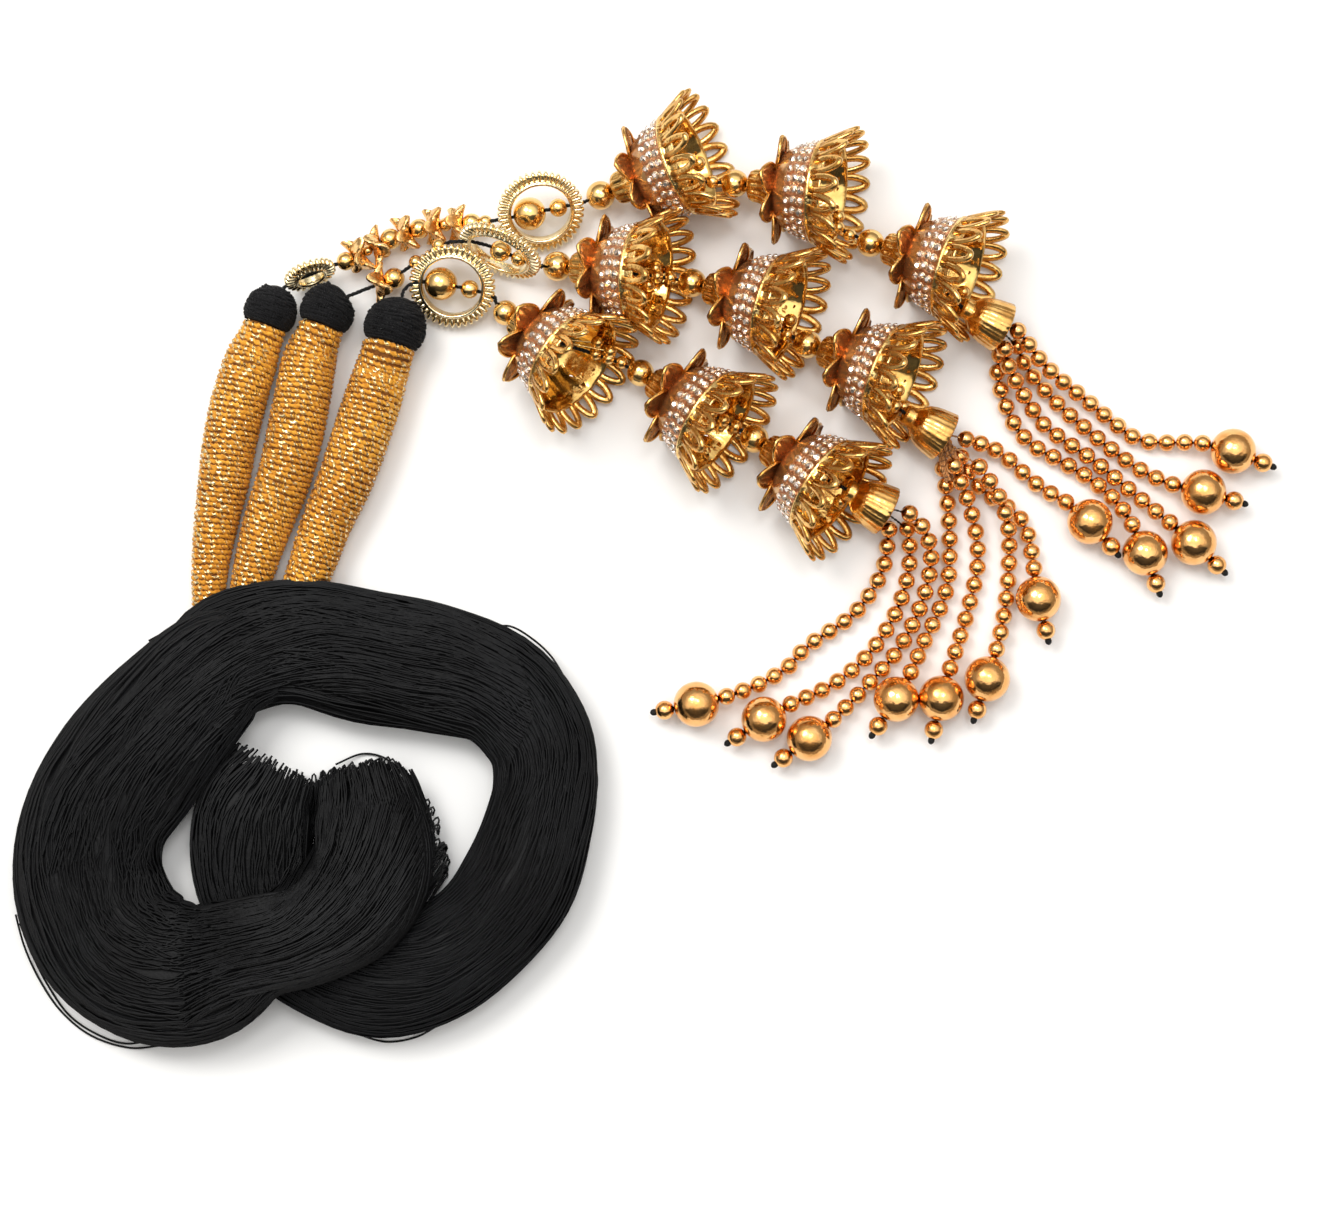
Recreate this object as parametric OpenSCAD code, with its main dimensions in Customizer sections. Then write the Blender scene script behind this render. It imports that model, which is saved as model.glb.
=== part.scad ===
// Hair tassel that lies on a surface: a black thread hank, three wound stems with knobs,
// three strings of rings, spacers and bells, and twelve strings of beads.
// Millimetres, +Z up, the surface at Z = 0, origin below the middle of the bounding box.

/* [Bells] */
// Length of a bell from the top of its crown to its mouth
bell_len = 25.5; // [25.2:0.1:25.8]
// Diameter across the tips of the open loops at the mouth
mouth_d = 32; // [31.6:0.1:32.2]
// Number of open loops round a mouth
loops = 13; // [12:1:14]
// Diameter of the hole in each loop
loop_hole_d = 3; // [2.6:0.1:3.2]
// Number of leaves in the collar
leaves = 6; // [5:1:8]
// Thickness of the cast metal
wall = 0.8; // [0.7:0.1:1]

/* [Rings] */
// Outer diameter of the large rings
ring_d = 20.6; // [20:0.1:21]
// Outer diameter of the small ring
small_ring_d = 12.6; // [12:0.1:13]
// Number of ribs on a large ring
ring_ribs = 40; // [30:2:48]

/* [Beads] */
// Diameter of the small tassel beads
bead_d = 4; // [3.8:0.1:4]
// Distance between two small tassel beads, middle to middle
bead_pitch = 4.2; // [4.2:0.1:4.3]
// Diameter of the large bead near the end of each string
large_bead_d = 10.4; // [10:0.1:10.6]
// Diameter of the bead at the end of each string
end_bead_d = 4.4; // [4:0.1:4.6]
// Diameter of the hole through a tassel bead
bore_d = 1.4; // [1.3:0.1:1.6]
// Diameter of the hole through a large bead
large_bore_d = 2.4; // [2.2:0.1:2.6]
// Diameter of the tassel threads
thread_d = 0.5; // [0.4:0.1:0.6]
// Diameter of the cord that carries the bells
cord_d = 1; // [0.8:0.1:1.2]

/* [Hank and stems] */
// Number of locks that show round the thread bundle
locks = 8; // [6:1:10]
// Depth of the grooves between the locks, as a share of the bundle's width
lock_depth = 0.12; // [0:0.01:0.15]
// Gap left where two pieces meet
gap = 0.3; // [0.2:0.05:0.4]

/* [Hidden] */

// Shift that brings the middle of the bounding box over the origin
place = [-1.86, 0.51, 0];

black = [0.11, 0.11, 0.12];
ochre = [0.88, 0.6, 0.2];
pale_gold = [0.92, 0.84, 0.55];
gold = [0.84, 0.65, 0.27];
orange_gold = [0.88, 0.58, 0.27];
copper_gold = [0.86, 0.6, 0.36];

mouth_r = mouth_d / 2;
cord_bore = cord_d + 2 * gap;
fine = 48;
hole_fine = 24;

// Columns of the hank's two bundles: x, y, height of the underside, half width, half height
X = 0;
Y = 1;
LIFT = 2;
HALF_W = 3;
HALF_H = 4;

// The bundle that leaves the stems to the right, goes round and ends in the middle
RIGHT_BUNDLE = [
    [-106, -30, 1, 11, 7],
    [-96, -21, 0, 14, 8.5],
    [-80, -18.5, 0, 14.5, 9],
    [-64, -22, 0, 15.5, 8.5],
    [-49, -24.5, 0, 15, 8.5],
    [-33.5, -29.5, 0, 13.5, 8.5],
    [-24.5, -40, 0, 12.5, 8.5],
    [-22.5, -50, 0, 12, 8.5],
    [-24, -61, 0, 12.5, 8.5],
    [-28.5, -74, 0, 13.5, 8.5],
    [-36.5, -85, 0, 13, 8],
    [-48, -93.5, 0, 13.5, 8],
    [-61, -97, 0, 13.5, 7.5],
    [-74, -94, 0, 12, 6.5],
    [-85, -87, 0, 11.5, 6],
    [-90, -76, 0, 12.5, 6.5],
    [-89, -64, 0, 13, 7],
    [-85.5, -56, 0, 10.5, 6.5],
    [-84, -51, 0, 7, 5]
];

// The bundle that goes down the left side, crosses over the other and fans out
LEFT_BUNDLE = [
    [-86, -21, 3, 11, 7.5],
    [-97, -24, 3, 14, 8.5],
    [-108, -34, 1, 16, 9.5],
    [-119, -47, 0, 17.5, 9.5],
    [-127, -60, 0, 17, 9.5],
    [-128.5, -74, 0, 17.5, 9],
    [-123, -87, 0, 18, 9],
    [-112, -94.5, 0, 17.5, 9],
    [-100, -94.5, 3, 16, 8.5],
    [-88, -89, 9, 12, 8],
    [-76, -86, 10, 11.5, 8],
    [-66, -79, 7, 13.5, 8.5],
    [-62, -69, 3, 14, 9],
    [-63, -58, 0.5, 13, 9],
    [-64.5, -49.5, 0, 9, 7.5]
];

// Columns of the knobs: x, y, radius, heading of the stem's axis, heading of the cord
KNOB_R = 2;
STEM_AIM = 3;
CORD_AIM = 4;
KNOBS = [
    [-87.4, 59.4, 6.3, 70, 75],
    [-74, 59.4, 6.5, 70, 35],
    [-58, 55.4, 7.4, 73, 80]
];
knob_cut = 0.5;

// Columns of the stems' routes: x, y, radius
STEM_R = 2;
STEMS = [
    [[-91.8, 48, 6.3], [-94.5, 39, 6.6], [-96.7, 29, 6.5], [-98.2, 19, 6.1],
        [-100, 9.5, 5.3], [-101.4, -0.5, 4.5], [-101.8, -10, 3.9], [-101.5, -18, 3.6]],
    [[-78.2, 48, 6.5], [-79.8, 39, 6.8], [-81.7, 29, 6.8], [-84.3, 19, 6.5],
        [-87.8, 9.5, 6], [-90.8, -0.5, 5.2], [-92.6, -8.5, 4.5], [-93.5, -16, 4.1]],
    [[-61.6, 44, 6.6], [-63.4, 38, 6.9], [-66.3, 29, 6.9], [-69.8, 19, 6.6],
        [-74, 9.5, 6.1], [-77.5, -0.5, 5.6], [-79.8, -6.5, 5.2], [-82, -14, 4.8]]
];

// Columns of the rings: x, y, z of the middle, heading of the cord, roll about it, diameter
RING_AIM = 3;
RING_ROLL = 4;
RING_D = 5;
RINGS = [
    [-23.9, 83, 7, 12, 36, ring_d],
    [-33.3, 73.1, 10.6, -23, 70, ring_d],
    [-44.7, 65.4, 6.8, -11, 28, ring_d]
];
SMALL_RING = [-78.2, 68.1, 6.5, 22, 75, small_ring_d];

// Beads strung inside each large ring: distance from the ring's middle, radius
RING_BEADS = [
    [[-2.7, 3.9], [4.2, 2.2]],
    [[0.2, 2.6], [4.8, 1.9]],
    [[-2.7, 3.9], [4.2, 2.2]]
];

// Columns of the items on the upper string: kind, radius
BEAD = 0;
FLOWER = 1;
KIND = 0;
ITEM_R = 1;
UPPER_1 = [
    [BEAD, 2.2], [FLOWER], [BEAD, 1.3], [FLOWER], [BEAD, 2.5], [FLOWER],
    [BEAD, 2.4], [FLOWER], [BEAD, 1.6], [FLOWER], [BEAD, 2.3]
];
UPPER_2 = [[FLOWER], [BEAD, 2.5]];
UPPER_ROUTE_1 = [
    [-69.8, 71.3, 6.2], [-64.8, 74, 5], [-58, 77.4, 4.8], [-51, 79.6, 4.8], [-44, 80.4, 4.9],
    [-38, 80.6, 5.6], [-34, 81, 6.6]
];
UPPER_ROUTE_2 = [
    [-61.9, 66.2, 5], [-58.4, 67.5, 5], [-54, 70.2, 5], [-50, 72.6, 6], [-46, 75, 8]
];
flower_h = 1.8;
item_gap = 0.25;

// Columns of the bells: x and y of the mouth's middle, heading, tip of the mouth, roll,
// radius of the bead before the crown
AIM = 2;
TIP = 3;
ROLL = 4;
FRONT_R = 5;
BELLS = [
    [[16.4, 95.5, 18, 19, 0, 3.4], [49.4, 85.3, -8.6, 15.7, 12, 3.3], [79.8, 66.1, -19.8, 17, 6, 3.3]],
    [[7.2, 66.2, -8.4, 20, 0, 3.5], [38, 57.4, -18.4, 18, 10, 3.4], [64.3, 40.6, -23.3, 17.4, 4, 3.4]],
    [[-11.5, 42.8, -38.5, 23, 8, 3], [22.3, 29.1, -34.7, 17.4, 2, 3.2], [48.7, 13.1, -36, 18.2, 10, 3.4]]
];

// Columns of the end caps: x, y, z of the wide mouth, heading, downward slope
CAP_AIM = 3;
CAP_SLOPE = 4;
END_CAPS = [
    [84.5, 55.3, 8, -25, 14],
    [70.9, 29.6, 6.8, -30, 11],
    [57.2, 12.2, 7, -28, 12]
];
cap_len = 11.5;
cap_mouth_r = 6;
knot_at = 7.6;
knot_r = 2.3;

// Bead strings: number of small beads and the route of the middle of the string
STRINGS = [
    [
        [14, [[88, 54.4, 9.4], [90.8, 51, 8.6], [94.2, 47, 6.8], [99, 43, 4.8], [105, 38.6, 2.8],
            [111, 33.8, 2], [117, 29.6, 2], [124, 28.8, 2.2], [131, 28.6, 4.2], [138.6, 26.6, 5.3],
            [146, 23.8, 4.6]]],
        [13, [[88.4, 51.4, 4.6], [90.4, 47, 3], [94, 42.4, 2], [99.5, 36.6, 2], [106, 31, 2],
            [112.5, 25.8, 2], [118.4, 21.8, 2.2], [124.6, 18.8, 4.2], [132, 16.8, 5.3], [140, 14.6, 4.6]]],
        [15, [[85, 50.2, 8.6], [86, 46.4, 7.2], [88.4, 42.2, 4.8], [91.4, 37.6, 2.8], [94.8, 33, 2],
            [99.4, 29.4, 2], [104.8, 25.8, 2], [110.6, 21.2, 2], [116, 16.6, 2.4], [121.2, 12, 4.2],
            [127.2, 7, 5.3], [133, 1.6, 4.6]]],
        [14, [[84.2, 49.4, 4], [83.8, 45, 2.6], [85.4, 38.8, 2], [88, 32.8, 2], [92.4, 28, 2],
            [98.8, 24.4, 2], [105, 20.6, 2], [110.6, 16, 2.2], [114, 11.2, 4.2], [117, 5, 5.3],
            [119.8, -2.4, 4.6]]]
    ],
    [
        [8, [[76, 29.2, 6.6], [80, 28.2, 4.4], [84, 26.6, 2.6], [87.6, 23.8, 2], [91, 20.6, 2],
            [95.2, 17.4, 2.4], [100.2, 14.2, 4.2], [105.2, 9.8, 5.3], [110, 4.2, 4.6]]],
        [9, [[75, 25.4, 3.8], [77, 21.6, 2.4], [80, 17.8, 2], [84, 14.8, 2], [87.6, 12.6, 2], [90.2, 9, 2],
            [91.4, 4.4, 2.4], [92, -1, 4.2], [93, -9, 5.3], [95, -17, 4.6]]],
        [13, [[73.2, 22.8, 7.4], [75, 18.6, 5.8], [77.2, 13, 3.8], [78.8, 6, 2.2], [79, 0, 2],
            [77.6, -7, 2], [75.4, -15, 2.2], [73, -22, 4.2], [70.4, -30, 5.3], [68.4, -38.4, 4.6]]],
        [13, [[70.8, 22.6, 3.4], [71.6, 18, 2.2], [72.2, 11, 2], [72.4, 4, 2], [72, -4, 2], [69.8, -11, 2],
            [66.4, -18, 2.2], [63.2, -25, 4.2], [59.2, -32.2, 5.3], [54.6, -39, 4.6]]],
        [12, [[79, 22.6, 7.6], [81.6, 19, 7], [84.2, 14.2, 7.2], [86, 8.4, 4.6], [86.4, 2, 2], [86, -5, 2],
            [85, -12, 2.4], [83.4, -19, 4.2], [80.8, -27, 5.3], [78.2, -35, 4.6]]]
    ],
    [
        [15, [[58, 8.2, 3.8], [57.6, 3.8, 2.4], [56.6, -1.2, 2], [53.8, -6.6, 2], [49.6, -11.8, 2],
            [43.6, -16, 2], [38.4, -19.6, 2], [34.4, -24, 2], [28.6, -27.6, 2.2], [22.4, -30.2, 3.8],
            [15.2, -32.4, 5.3], [7, -34, 4.6]]],
        [14, [[62.4, 8.4, 3.8], [63, 4, 2.4], [62.6, -2, 2], [60.4, -9.6, 2], [57, -16, 2], [52.4, -22, 2],
            [46.6, -27, 2], [41, -30.2, 2.2], [35, -32.8, 4.2], [28.6, -36.4, 5.3], [22.2, -40.6, 4.6]]],
        [15, [[62.6, 11.6, 8], [66, 8, 6.8], [67.8, 2.8, 4.2], [67.4, -3.2, 2.2], [65.4, -10, 2],
            [62.4, -16.4, 2], [58.8, -22, 2], [53.8, -27.4, 2.2], [48.6, -32.8, 2.6], [44.4, -36.8, 4.2],
            [38.8, -41.2, 5.3], [32.4, -46, 4.6]]]
    ]
];
COUNT = 0;
ROUTE = 1;

// Curves and directions

function unit(v) = v / norm(v);
function mix(a, b, t) = a + (b - a) * t;
function heading(a, slope = 0) = [cos(slope) * cos(a), cos(slope) * sin(a), sin(slope)];

// Point of a smooth curve between b and c
function spline(a, b, c, d, t) =
    0.5 * (2 * b + (c - a) * t + (2 * a - 5 * b + 4 * c - d) * t * t
        + (3 * b - a - 3 * c + d) * t * t * t);

// Smooth curve through the rows p, with n steps between two rows
function smooth(p, n) = let (m = len(p) - 1) [
    for (i = [0:m - 1], k = [0:n - 1])
        spline(p[max(i - 1, 0)], p[i], p[i + 1], p[min(i + 2, m)], k / n),
    p[m]
];

// Distance along the points p to each of them
function reach(p) = [
    for (i = 0, s = 0; i < len(p); s = s + (i < len(p) - 1 ? norm(p[i + 1] - p[i]) : 0), i = i + 1) s
];

// Point at the distance s along the points p, where r is reach(p)
function at(p, r, s, i = 0) =
    i >= len(p) - 2 || r[i + 1] >= s
        ? mix(p[i], p[i + 1], (s - r[i]) / (r[i + 1] - r[i]))
        : at(p, r, s, i + 1);

function no_lower(p, z) = [p.x, p.y, max(p.z, z)];

// Middle of each bead on a route, given the radii in their order
function strung(route, radii, spacing) = let (
    p = smooth(route, 8),
    r = reach(p),
    s = [for (i = 0, s = 0; i < len(radii);
        s = s + (i < len(radii) - 1 ? radii[i] + radii[i + 1] + spacing : 0), i = i + 1) s]
) [for (i = [0:len(radii) - 1]) no_lower(at(p, r, s[i]), radii[i])];

// Points of the thread: halfway between neighbours, and a little past both ends
function threaded(c, radii, past) = let (m = len(c) - 1) [
    c[0] - unit(c[1] - c[0]) * (radii[0] + past),
    for (i = [0:m - 1]) mix(c[i], c[i + 1], radii[i] / (radii[i] + radii[i + 1])),
    c[m] + unit(c[m] - c[m - 1]) * (radii[m] + past)
];

// Solids that several pieces share

module aim(d) {
    rotate([0, acos(d.z), atan2(d.y, d.x)]) children();
}

// Closed skin over a row of rings with the same number of points
module skin(rings) {
    n = len(rings[0]);
    m = len(rings);
    polyhedron(
        points = [for (r = rings) each r],
        faces = [
            [for (k = [0:n - 1]) k],
            [for (k = [n - 1:-1:0]) (m - 1) * n + k],
            for (i = [0:m - 2], k = [0:n - 1]) let (a = i * n + k, b = i * n + (k + 1) % n)
                each [[a, b + n, b], [a, a + n, b + n]]
        ]);
}

function tangents(p) = let (m = len(p) - 1) [
    for (i = [0:m]) unit(p[min(i + 1, m)] - p[max(i - 1, 0)])
];

// Round tube through the points p with the radius r at each, and n sides
module tube(p, r, n) {
    t = tangents(p);
    skin([for (i = [0:len(p) - 1]) let (u = unit(cross([0, 0, 1], t[i])), v = cross(t[i], u))
        [for (k = [0:n - 1]) p[i] + r[i] * (cos(360 * k / n) * u + sin(360 * k / n) * v)]]);
}

module round_bead(c, d, r, hole) {
    translate(c) aim(d) difference() {
        sphere(r = r, $fn = fine);
        cylinder(d = hole, h = 2 * r + 1, center = true, $fn = hole_fine);
    }
}

// Thread hank

// Lobed section of a bundle at one row of its route
function bundle_ring(row, t, turn) = let (
    c = [row[X], row[Y], row[LIFT] + row[HALF_H]],
    u = unit(cross([0, 0, 1], t)),
    n = 4 * locks
) [for (k = [0:n - 1]) let (a = 360 * k / n, f = 1 - lock_depth * pow(sin(locks * a / 2 + turn), 2))
    c + f * (row[HALF_W] * cos(a) * u + row[HALF_H] * sin(a) * [0, 0, 1])];

module bundle(rows, twist) {
    p = smooth(rows, 2);
    t = tangents([for (r = p) [r[X], r[Y], 0]]);
    skin([for (i = [0:len(p) - 1]) bundle_ring(p[i], t[i], twist * i)]);
}

// One mesh: the bundles less the room for the ends of the stems
module hank() {
    color(black) resize([0, 0, 0]) difference() {
        union() {
            bundle(RIGHT_BUNDLE, 5);
            bundle(LEFT_BUNDLE, -4);
        }
        for (k = [0:2]) stem_tube(k, gap, gap);
    }
}

// Stems and knobs

function knob_mid(k) = [KNOBS[k][X], KNOBS[k][Y], KNOBS[k][KNOB_R] + gap];

// Route of a stem: out of its knob, then through its rows, lying on the surface
function stem_rows(k) = let (
    d = heading(KNOBS[k][STEM_AIM]),
    out = knob_cut * KNOBS[k][KNOB_R] + 1.4 * gap,
    first = STEMS[k][0]
) [
    for (s = [out, out + 3]) let (p = knob_mid(k) - d * s) [p.x, p.y, p.z, 0.85 * KNOBS[k][KNOB_R]],
    for (r = STEMS[k]) [r[X], r[Y], r[STEM_R] + 0.1, r[STEM_R]]
];

module stem_tube(k, grow = 0, past = 0) {
    p = smooth(stem_rows(k), 3);
    m = len(p) - 1;
    mids = [for (r = p) [r[0], r[1], r[2]]];
    ends = [each mids, mids[m] + unit(mids[m] - mids[m - 1]) * max(past, 0.01)];
    tube(ends, [for (r = p) r[3] + grow, p[m][3] + grow], 16);
}

module stem(k) {
    color(ochre) stem_tube(k);
}

// Ball with a flat side towards its stem, turned from a profile
module knob(k) {
    r = KNOBS[k][KNOB_R];
    profile = [[0, -knob_cut * r], for (a = [-asin(knob_cut):10:80]) r * [cos(a), sin(a)], [0, r]];
    color(black) translate(knob_mid(k)) difference() {
        aim(heading(KNOBS[k][STEM_AIM])) rotate_extrude($fn = fine) polygon(profile);
        aim(heading(KNOBS[k][CORD_AIM])) translate([0, 0, r - 3]) cylinder(d = cord_bore, h = 5, $fn = hole_fine);
    }
}

// Bells

function bell_dir(b) = heading(b[AIM], b[TIP]);
// A bell rests on its mouth, or on its leaves where it tips up further
function bell_mouth(b) = [b[X], b[Y], 0.05
    + max(mouth_r * cos(b[TIP]), (bell_len - leaf_z) * sin(b[TIP]) + leaf_tip * cos(b[TIP]))];

// Point on a bell's axis, measured from the top of its crown
function on_bell(b, s) = bell_mouth(b) - bell_dir(b) * (bell_len - s);

crown_hole = cord_d / 2 + gap;
crown_end = 6.5;

// Outer and inner outline of the cast shell: radius, distance from the top of the crown
SHELL = [
    [crown_hole, 0], [2.8, 0], [3.3, 0.6], [3.4, 2], [3, 3.2], [3.9, 5.2], [5.6, 7.2], [7.2, 8.6],
    [8.9, 10.4], [10.2, 12.6], [11, 15], [11.3, 16], [12, 16.3], [12, 17.1], [11.6, 17.4],
    [12.4, 19.4], [13.4, 21.2], [mouth_r, bell_len], [mouth_r - 1.1, bell_len],
    [13.4 - wall - 0.3, 21.4], [12.4 - wall - 0.1, 19.6], [11.3 - wall, 16.2], [11 - wall, 15.2],
    [10.2 - wall, 13], [8.9 - wall - 0.2, 11], [5.8, 8.8], [2.6, crown_end + 0.6], [crown_hole, crown_end]
];
lobe_r = 2.9;
lobe_at = mouth_r + 0.2 - lobe_r;
hole_at = mouth_r - 1.95;
band_r = 13.5;
leaf_r = 4.6;
leaf_at = 6;
leaf_tip = leaf_at + leaf_r;
leaf_z = 9.3;
crown_flutes = 8;

module bell_solid() {
    difference() {
        intersection() {
            rotate_extrude($fn = fine) polygon(SHELL);
            union() {
                cylinder(r = band_r, h = bell_len + 1, $fn = fine);
                for (i = [0:loops - 1]) rotate(360 * i / loops) translate([lobe_at, 0, 0])
                    cylinder(r = lobe_r, h = bell_len + 1, $fn = fine);
            }
        }
        for (i = [0:loops - 1]) rotate(360 * i / loops) translate([hole_at, 0, 20])
            cylinder(d = loop_hole_d, h = bell_len, $fn = hole_fine);
        for (i = [0:crown_flutes - 1]) rotate(360 * i / crown_flutes) translate([3.8, 0, -1])
            cylinder(d = 1.4, h = 5.4, $fn = hole_fine);
    }
    // Collar of leaves that opens towards the mouth
    intersection() {
        rotate_extrude($fn = fine)
            polygon([[4.4, 6.2], [8, 7.4], [10.8, 9.4], [10.8, 10.4], [8, 8.4], [5.6, 7.8]]);
        union() {
            cylinder(r = 6.5, h = 20, $fn = fine);
            for (i = [0:leaves - 1]) rotate(360 * i / leaves) translate([leaf_at, 0, 0])
                cylinder(r = leaf_r, h = 20, $fn = fine);
        }
    }
}

module bell(k, j) {
    b = BELLS[k][j];
    color(gold) translate(on_bell(b, 0)) aim(bell_dir(b)) rotate(b[ROLL]) bell_solid();
}

// Rings, flowers and beads on the cords

function ring_mid(r) = [r.x, r.y, r.z];
function on_ring(r, s) = ring_mid(r) + s * heading(r[RING_AIM]);

module ring(r) {
    outer = r[RING_D] / 2;
    inner = outer - 3.3;
    ribs = round(ring_ribs * r[RING_D] / ring_d);
    color(pale_gold) translate(ring_mid(r)) rotate([0, 0, r[RING_AIM]]) rotate([r[RING_ROLL], 0, 0])
    difference() {
        union() {
            translate([0, 0, -1]) linear_extrude(2) polygon([
                for (i = [0:ribs - 1], e = [[0.25, -1], [0.25, 0], [-0.25, 0], [-0.25, -1]])
                    let (a = 360 * (i - e[0]) / ribs) (outer + 2.2 * e[1]) * [cos(a), sin(a)]]);
            translate([0, 0, -0.6]) cylinder(r = outer - 0.5, h = 1.2, $fn = fine);
            translate([0, 0, -1.4]) cylinder(r = inner + 0.8, h = 2.8, $fn = fine);
        }
        cylinder(r = inner, h = 10, center = true, $fn = fine);
        rotate([0, 90, 0]) cylinder(d = cord_bore, h = 3 * outer, center = true, $fn = hole_fine);
    }
}

// Half the length that an item takes on its cord
function half_len(item) = item[KIND] == FLOWER ? flower_h / 2 : item[ITEM_R];
function item_mids(items, route) = strung(route, [for (i = items) half_len(i)], item_gap);
function item_cord(items, route) = threaded(item_mids(items, route), [for (i = items) half_len(i)], 0.2);

module flower(c, d) {
    translate(c) aim(d) difference() {
        union() {
            cylinder(r = 2.5, h = 1.2, center = true, $fn = fine);
            for (i = [0:5]) rotate(60 * i) translate([3.3, 0, 0])
                cylinder(r = 1.1, h = flower_h, center = true, $fn = hole_fine);
        }
        cylinder(d = cord_bore, h = 5, center = true, $fn = hole_fine);
    }
}

// Items of one kind along an upper string
module items_of(kind, items, route) {
    c = item_mids(items, route);
    w = item_cord(items, route);
    for (i = [0:len(items) - 1]) if (items[i][KIND] == kind) {
        d = unit(w[i + 1] - w[i]);
        if (kind == FLOWER) flower(c[i], d);
        else round_bead(c[i], d, items[i][ITEM_R], cord_bore);
    }
}

module flowers(items, route) {
    color(orange_gold) items_of(FLOWER, items, route);
}

// Round beads of a strand: on its upper string, in its ring and before each bell
module spacers(k, items, route) {
    color(gold) {
        if (len(items) > 0) items_of(BEAD, items, route);
        for (b = RING_BEADS[k])
            round_bead(on_ring(RINGS[k], b[0]), heading(RINGS[k][RING_AIM]), b[1], cord_bore);
        for (b = BELLS[k]) round_bead(front_bead(b), bell_dir(b), b[FRONT_R], cord_bore);
    }
}

function front_bead(b) = on_bell(b, -b[FRONT_R] - item_gap);

// End caps and cords

function cap_dir(k) = heading(END_CAPS[k][CAP_AIM], -END_CAPS[k][CAP_SLOPE]);
function on_cap(k, s) = [END_CAPS[k].x, END_CAPS[k].y, END_CAPS[k].z] - cap_dir(k) * (cap_len - s);

module end_cap(k) {
    flutes = 10;
    color(gold) translate(on_cap(k, 0)) aim(cap_dir(k)) difference() {
        rotate_extrude($fn = fine) polygon([
            [crown_hole, 0], [1.9, 0], [2.4, 0.5], [2.6, 3], [3.8, 6], [cap_mouth_r, cap_len],
            [cap_mouth_r - 0.9, cap_len], [3.1, 6.2], [2, 4.4], [crown_hole, 4]]);
        for (i = [0:flutes - 1]) rotate(360 * i / flutes) translate([cap_mouth_r, 0, cap_len + 0.3])
            rotate([0, 90, 0]) cylinder(d = 2, h = 3, center = true, $fn = hole_fine);
    }
}

// Points of a strand's cord, from its knob to the knot in its end cap
function cord_route(k, upper) = let (a = heading(KNOBS[k][CORD_AIM]), r = KNOBS[k][KNOB_R]) [
    knob_mid(k) + a * (r - 2.6),
    knob_mid(k) + a * (r + 0.6),
    each upper,
    on_ring(RINGS[k], -RINGS[k][RING_D] / 2 - 0.8),
    on_ring(RINGS[k], RINGS[k][RING_D] / 2 + 0.3),
    for (b = BELLS[k]) each [
        on_bell(b, -2 * b[FRONT_R] - 4 * item_gap), on_bell(b, crown_end + 0.5)
    ],
    on_cap(k, -1),
    on_cap(k, knot_at - knot_r - 0.1)
];

module cord(k, upper) {
    p = cord_route(k, upper);
    color(black) tube(p, [for (q = p) cord_d / 2], 6);
}

// Tassels

function radii(count) = [for (i = [1:count]) bead_d / 2, large_bead_d / 2, end_bead_d / 2];
function string_mids(s) = strung(s[ROUTE], radii(s[COUNT]), bead_pitch - bead_d);

module bead_string(s) {
    r = radii(s[COUNT]);
    c = string_mids(s);
    w = threaded(c, r, 0);
    color(copper_gold) for (i = [0:len(c) - 1])
        round_bead(c[i], unit(w[i + 1] - w[i]), r[i], i == s[COUNT] ? large_bore_d : bore_d);
}

// The knot in the end cap with one thread for each bead string, as one mesh
module threads(k) {
    color(black) resize([0, 0, 0]) union() {
        translate(on_cap(k, knot_at)) sphere(r = knot_r, $fn = 16);
        for (s = STRINGS[k]) {
            w = threaded(string_mids(s), radii(s[COUNT]), 0.3);
            p = [on_cap(k, knot_at), each w, w[len(w) - 1] + 0.8 * unit(w[len(w) - 1] - w[len(w) - 2])];
            tube(p, [for (i = [0:len(p) - 1]) thread_d / 2 * (i > len(p) - 3 ? 2 : 1)], 6);
        }
    }
}

small_ring_out = small_ring_d / 2 + 0.3;
small_ring_cord = [on_ring(SMALL_RING, -small_ring_out), on_ring(SMALL_RING, small_ring_out)];
UPPER_CORDS = [
    [each small_ring_cord, each item_cord(UPPER_1, UPPER_ROUTE_1)],
    item_cord(UPPER_2, UPPER_ROUTE_2),
    []
];
UPPER_ITEMS = [UPPER_1, UPPER_2, []];
UPPER_ROUTES = [UPPER_ROUTE_1, UPPER_ROUTE_2, []];

translate(place) {
    hank();
    for (k = [0:2]) {
        stem(k);
        knob(k);
        cord(k, UPPER_CORDS[k]);
        ring(RINGS[k]);
        spacers(k, UPPER_ITEMS[k], UPPER_ROUTES[k]);
        end_cap(k);
        threads(k);
        for (j = [0:2])
            bell(k, j);
        for (j = [0:len(STRINGS[k]) - 1])
            bead_string(STRINGS[k][j]);
    }
    ring(SMALL_RING);  // small_ring_1
    flowers(UPPER_1, UPPER_ROUTE_1);  // flowers_1
    flowers(UPPER_2, UPPER_ROUTE_2);  // flowers_2
}
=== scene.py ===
from math import acos, asin, atan2, cos, pi, radians, sin, sqrt

import bmesh
import bpy
import numpy as np
from mathutils import Matrix, Vector
from mathutils.bvhtree import BVHTree


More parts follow.
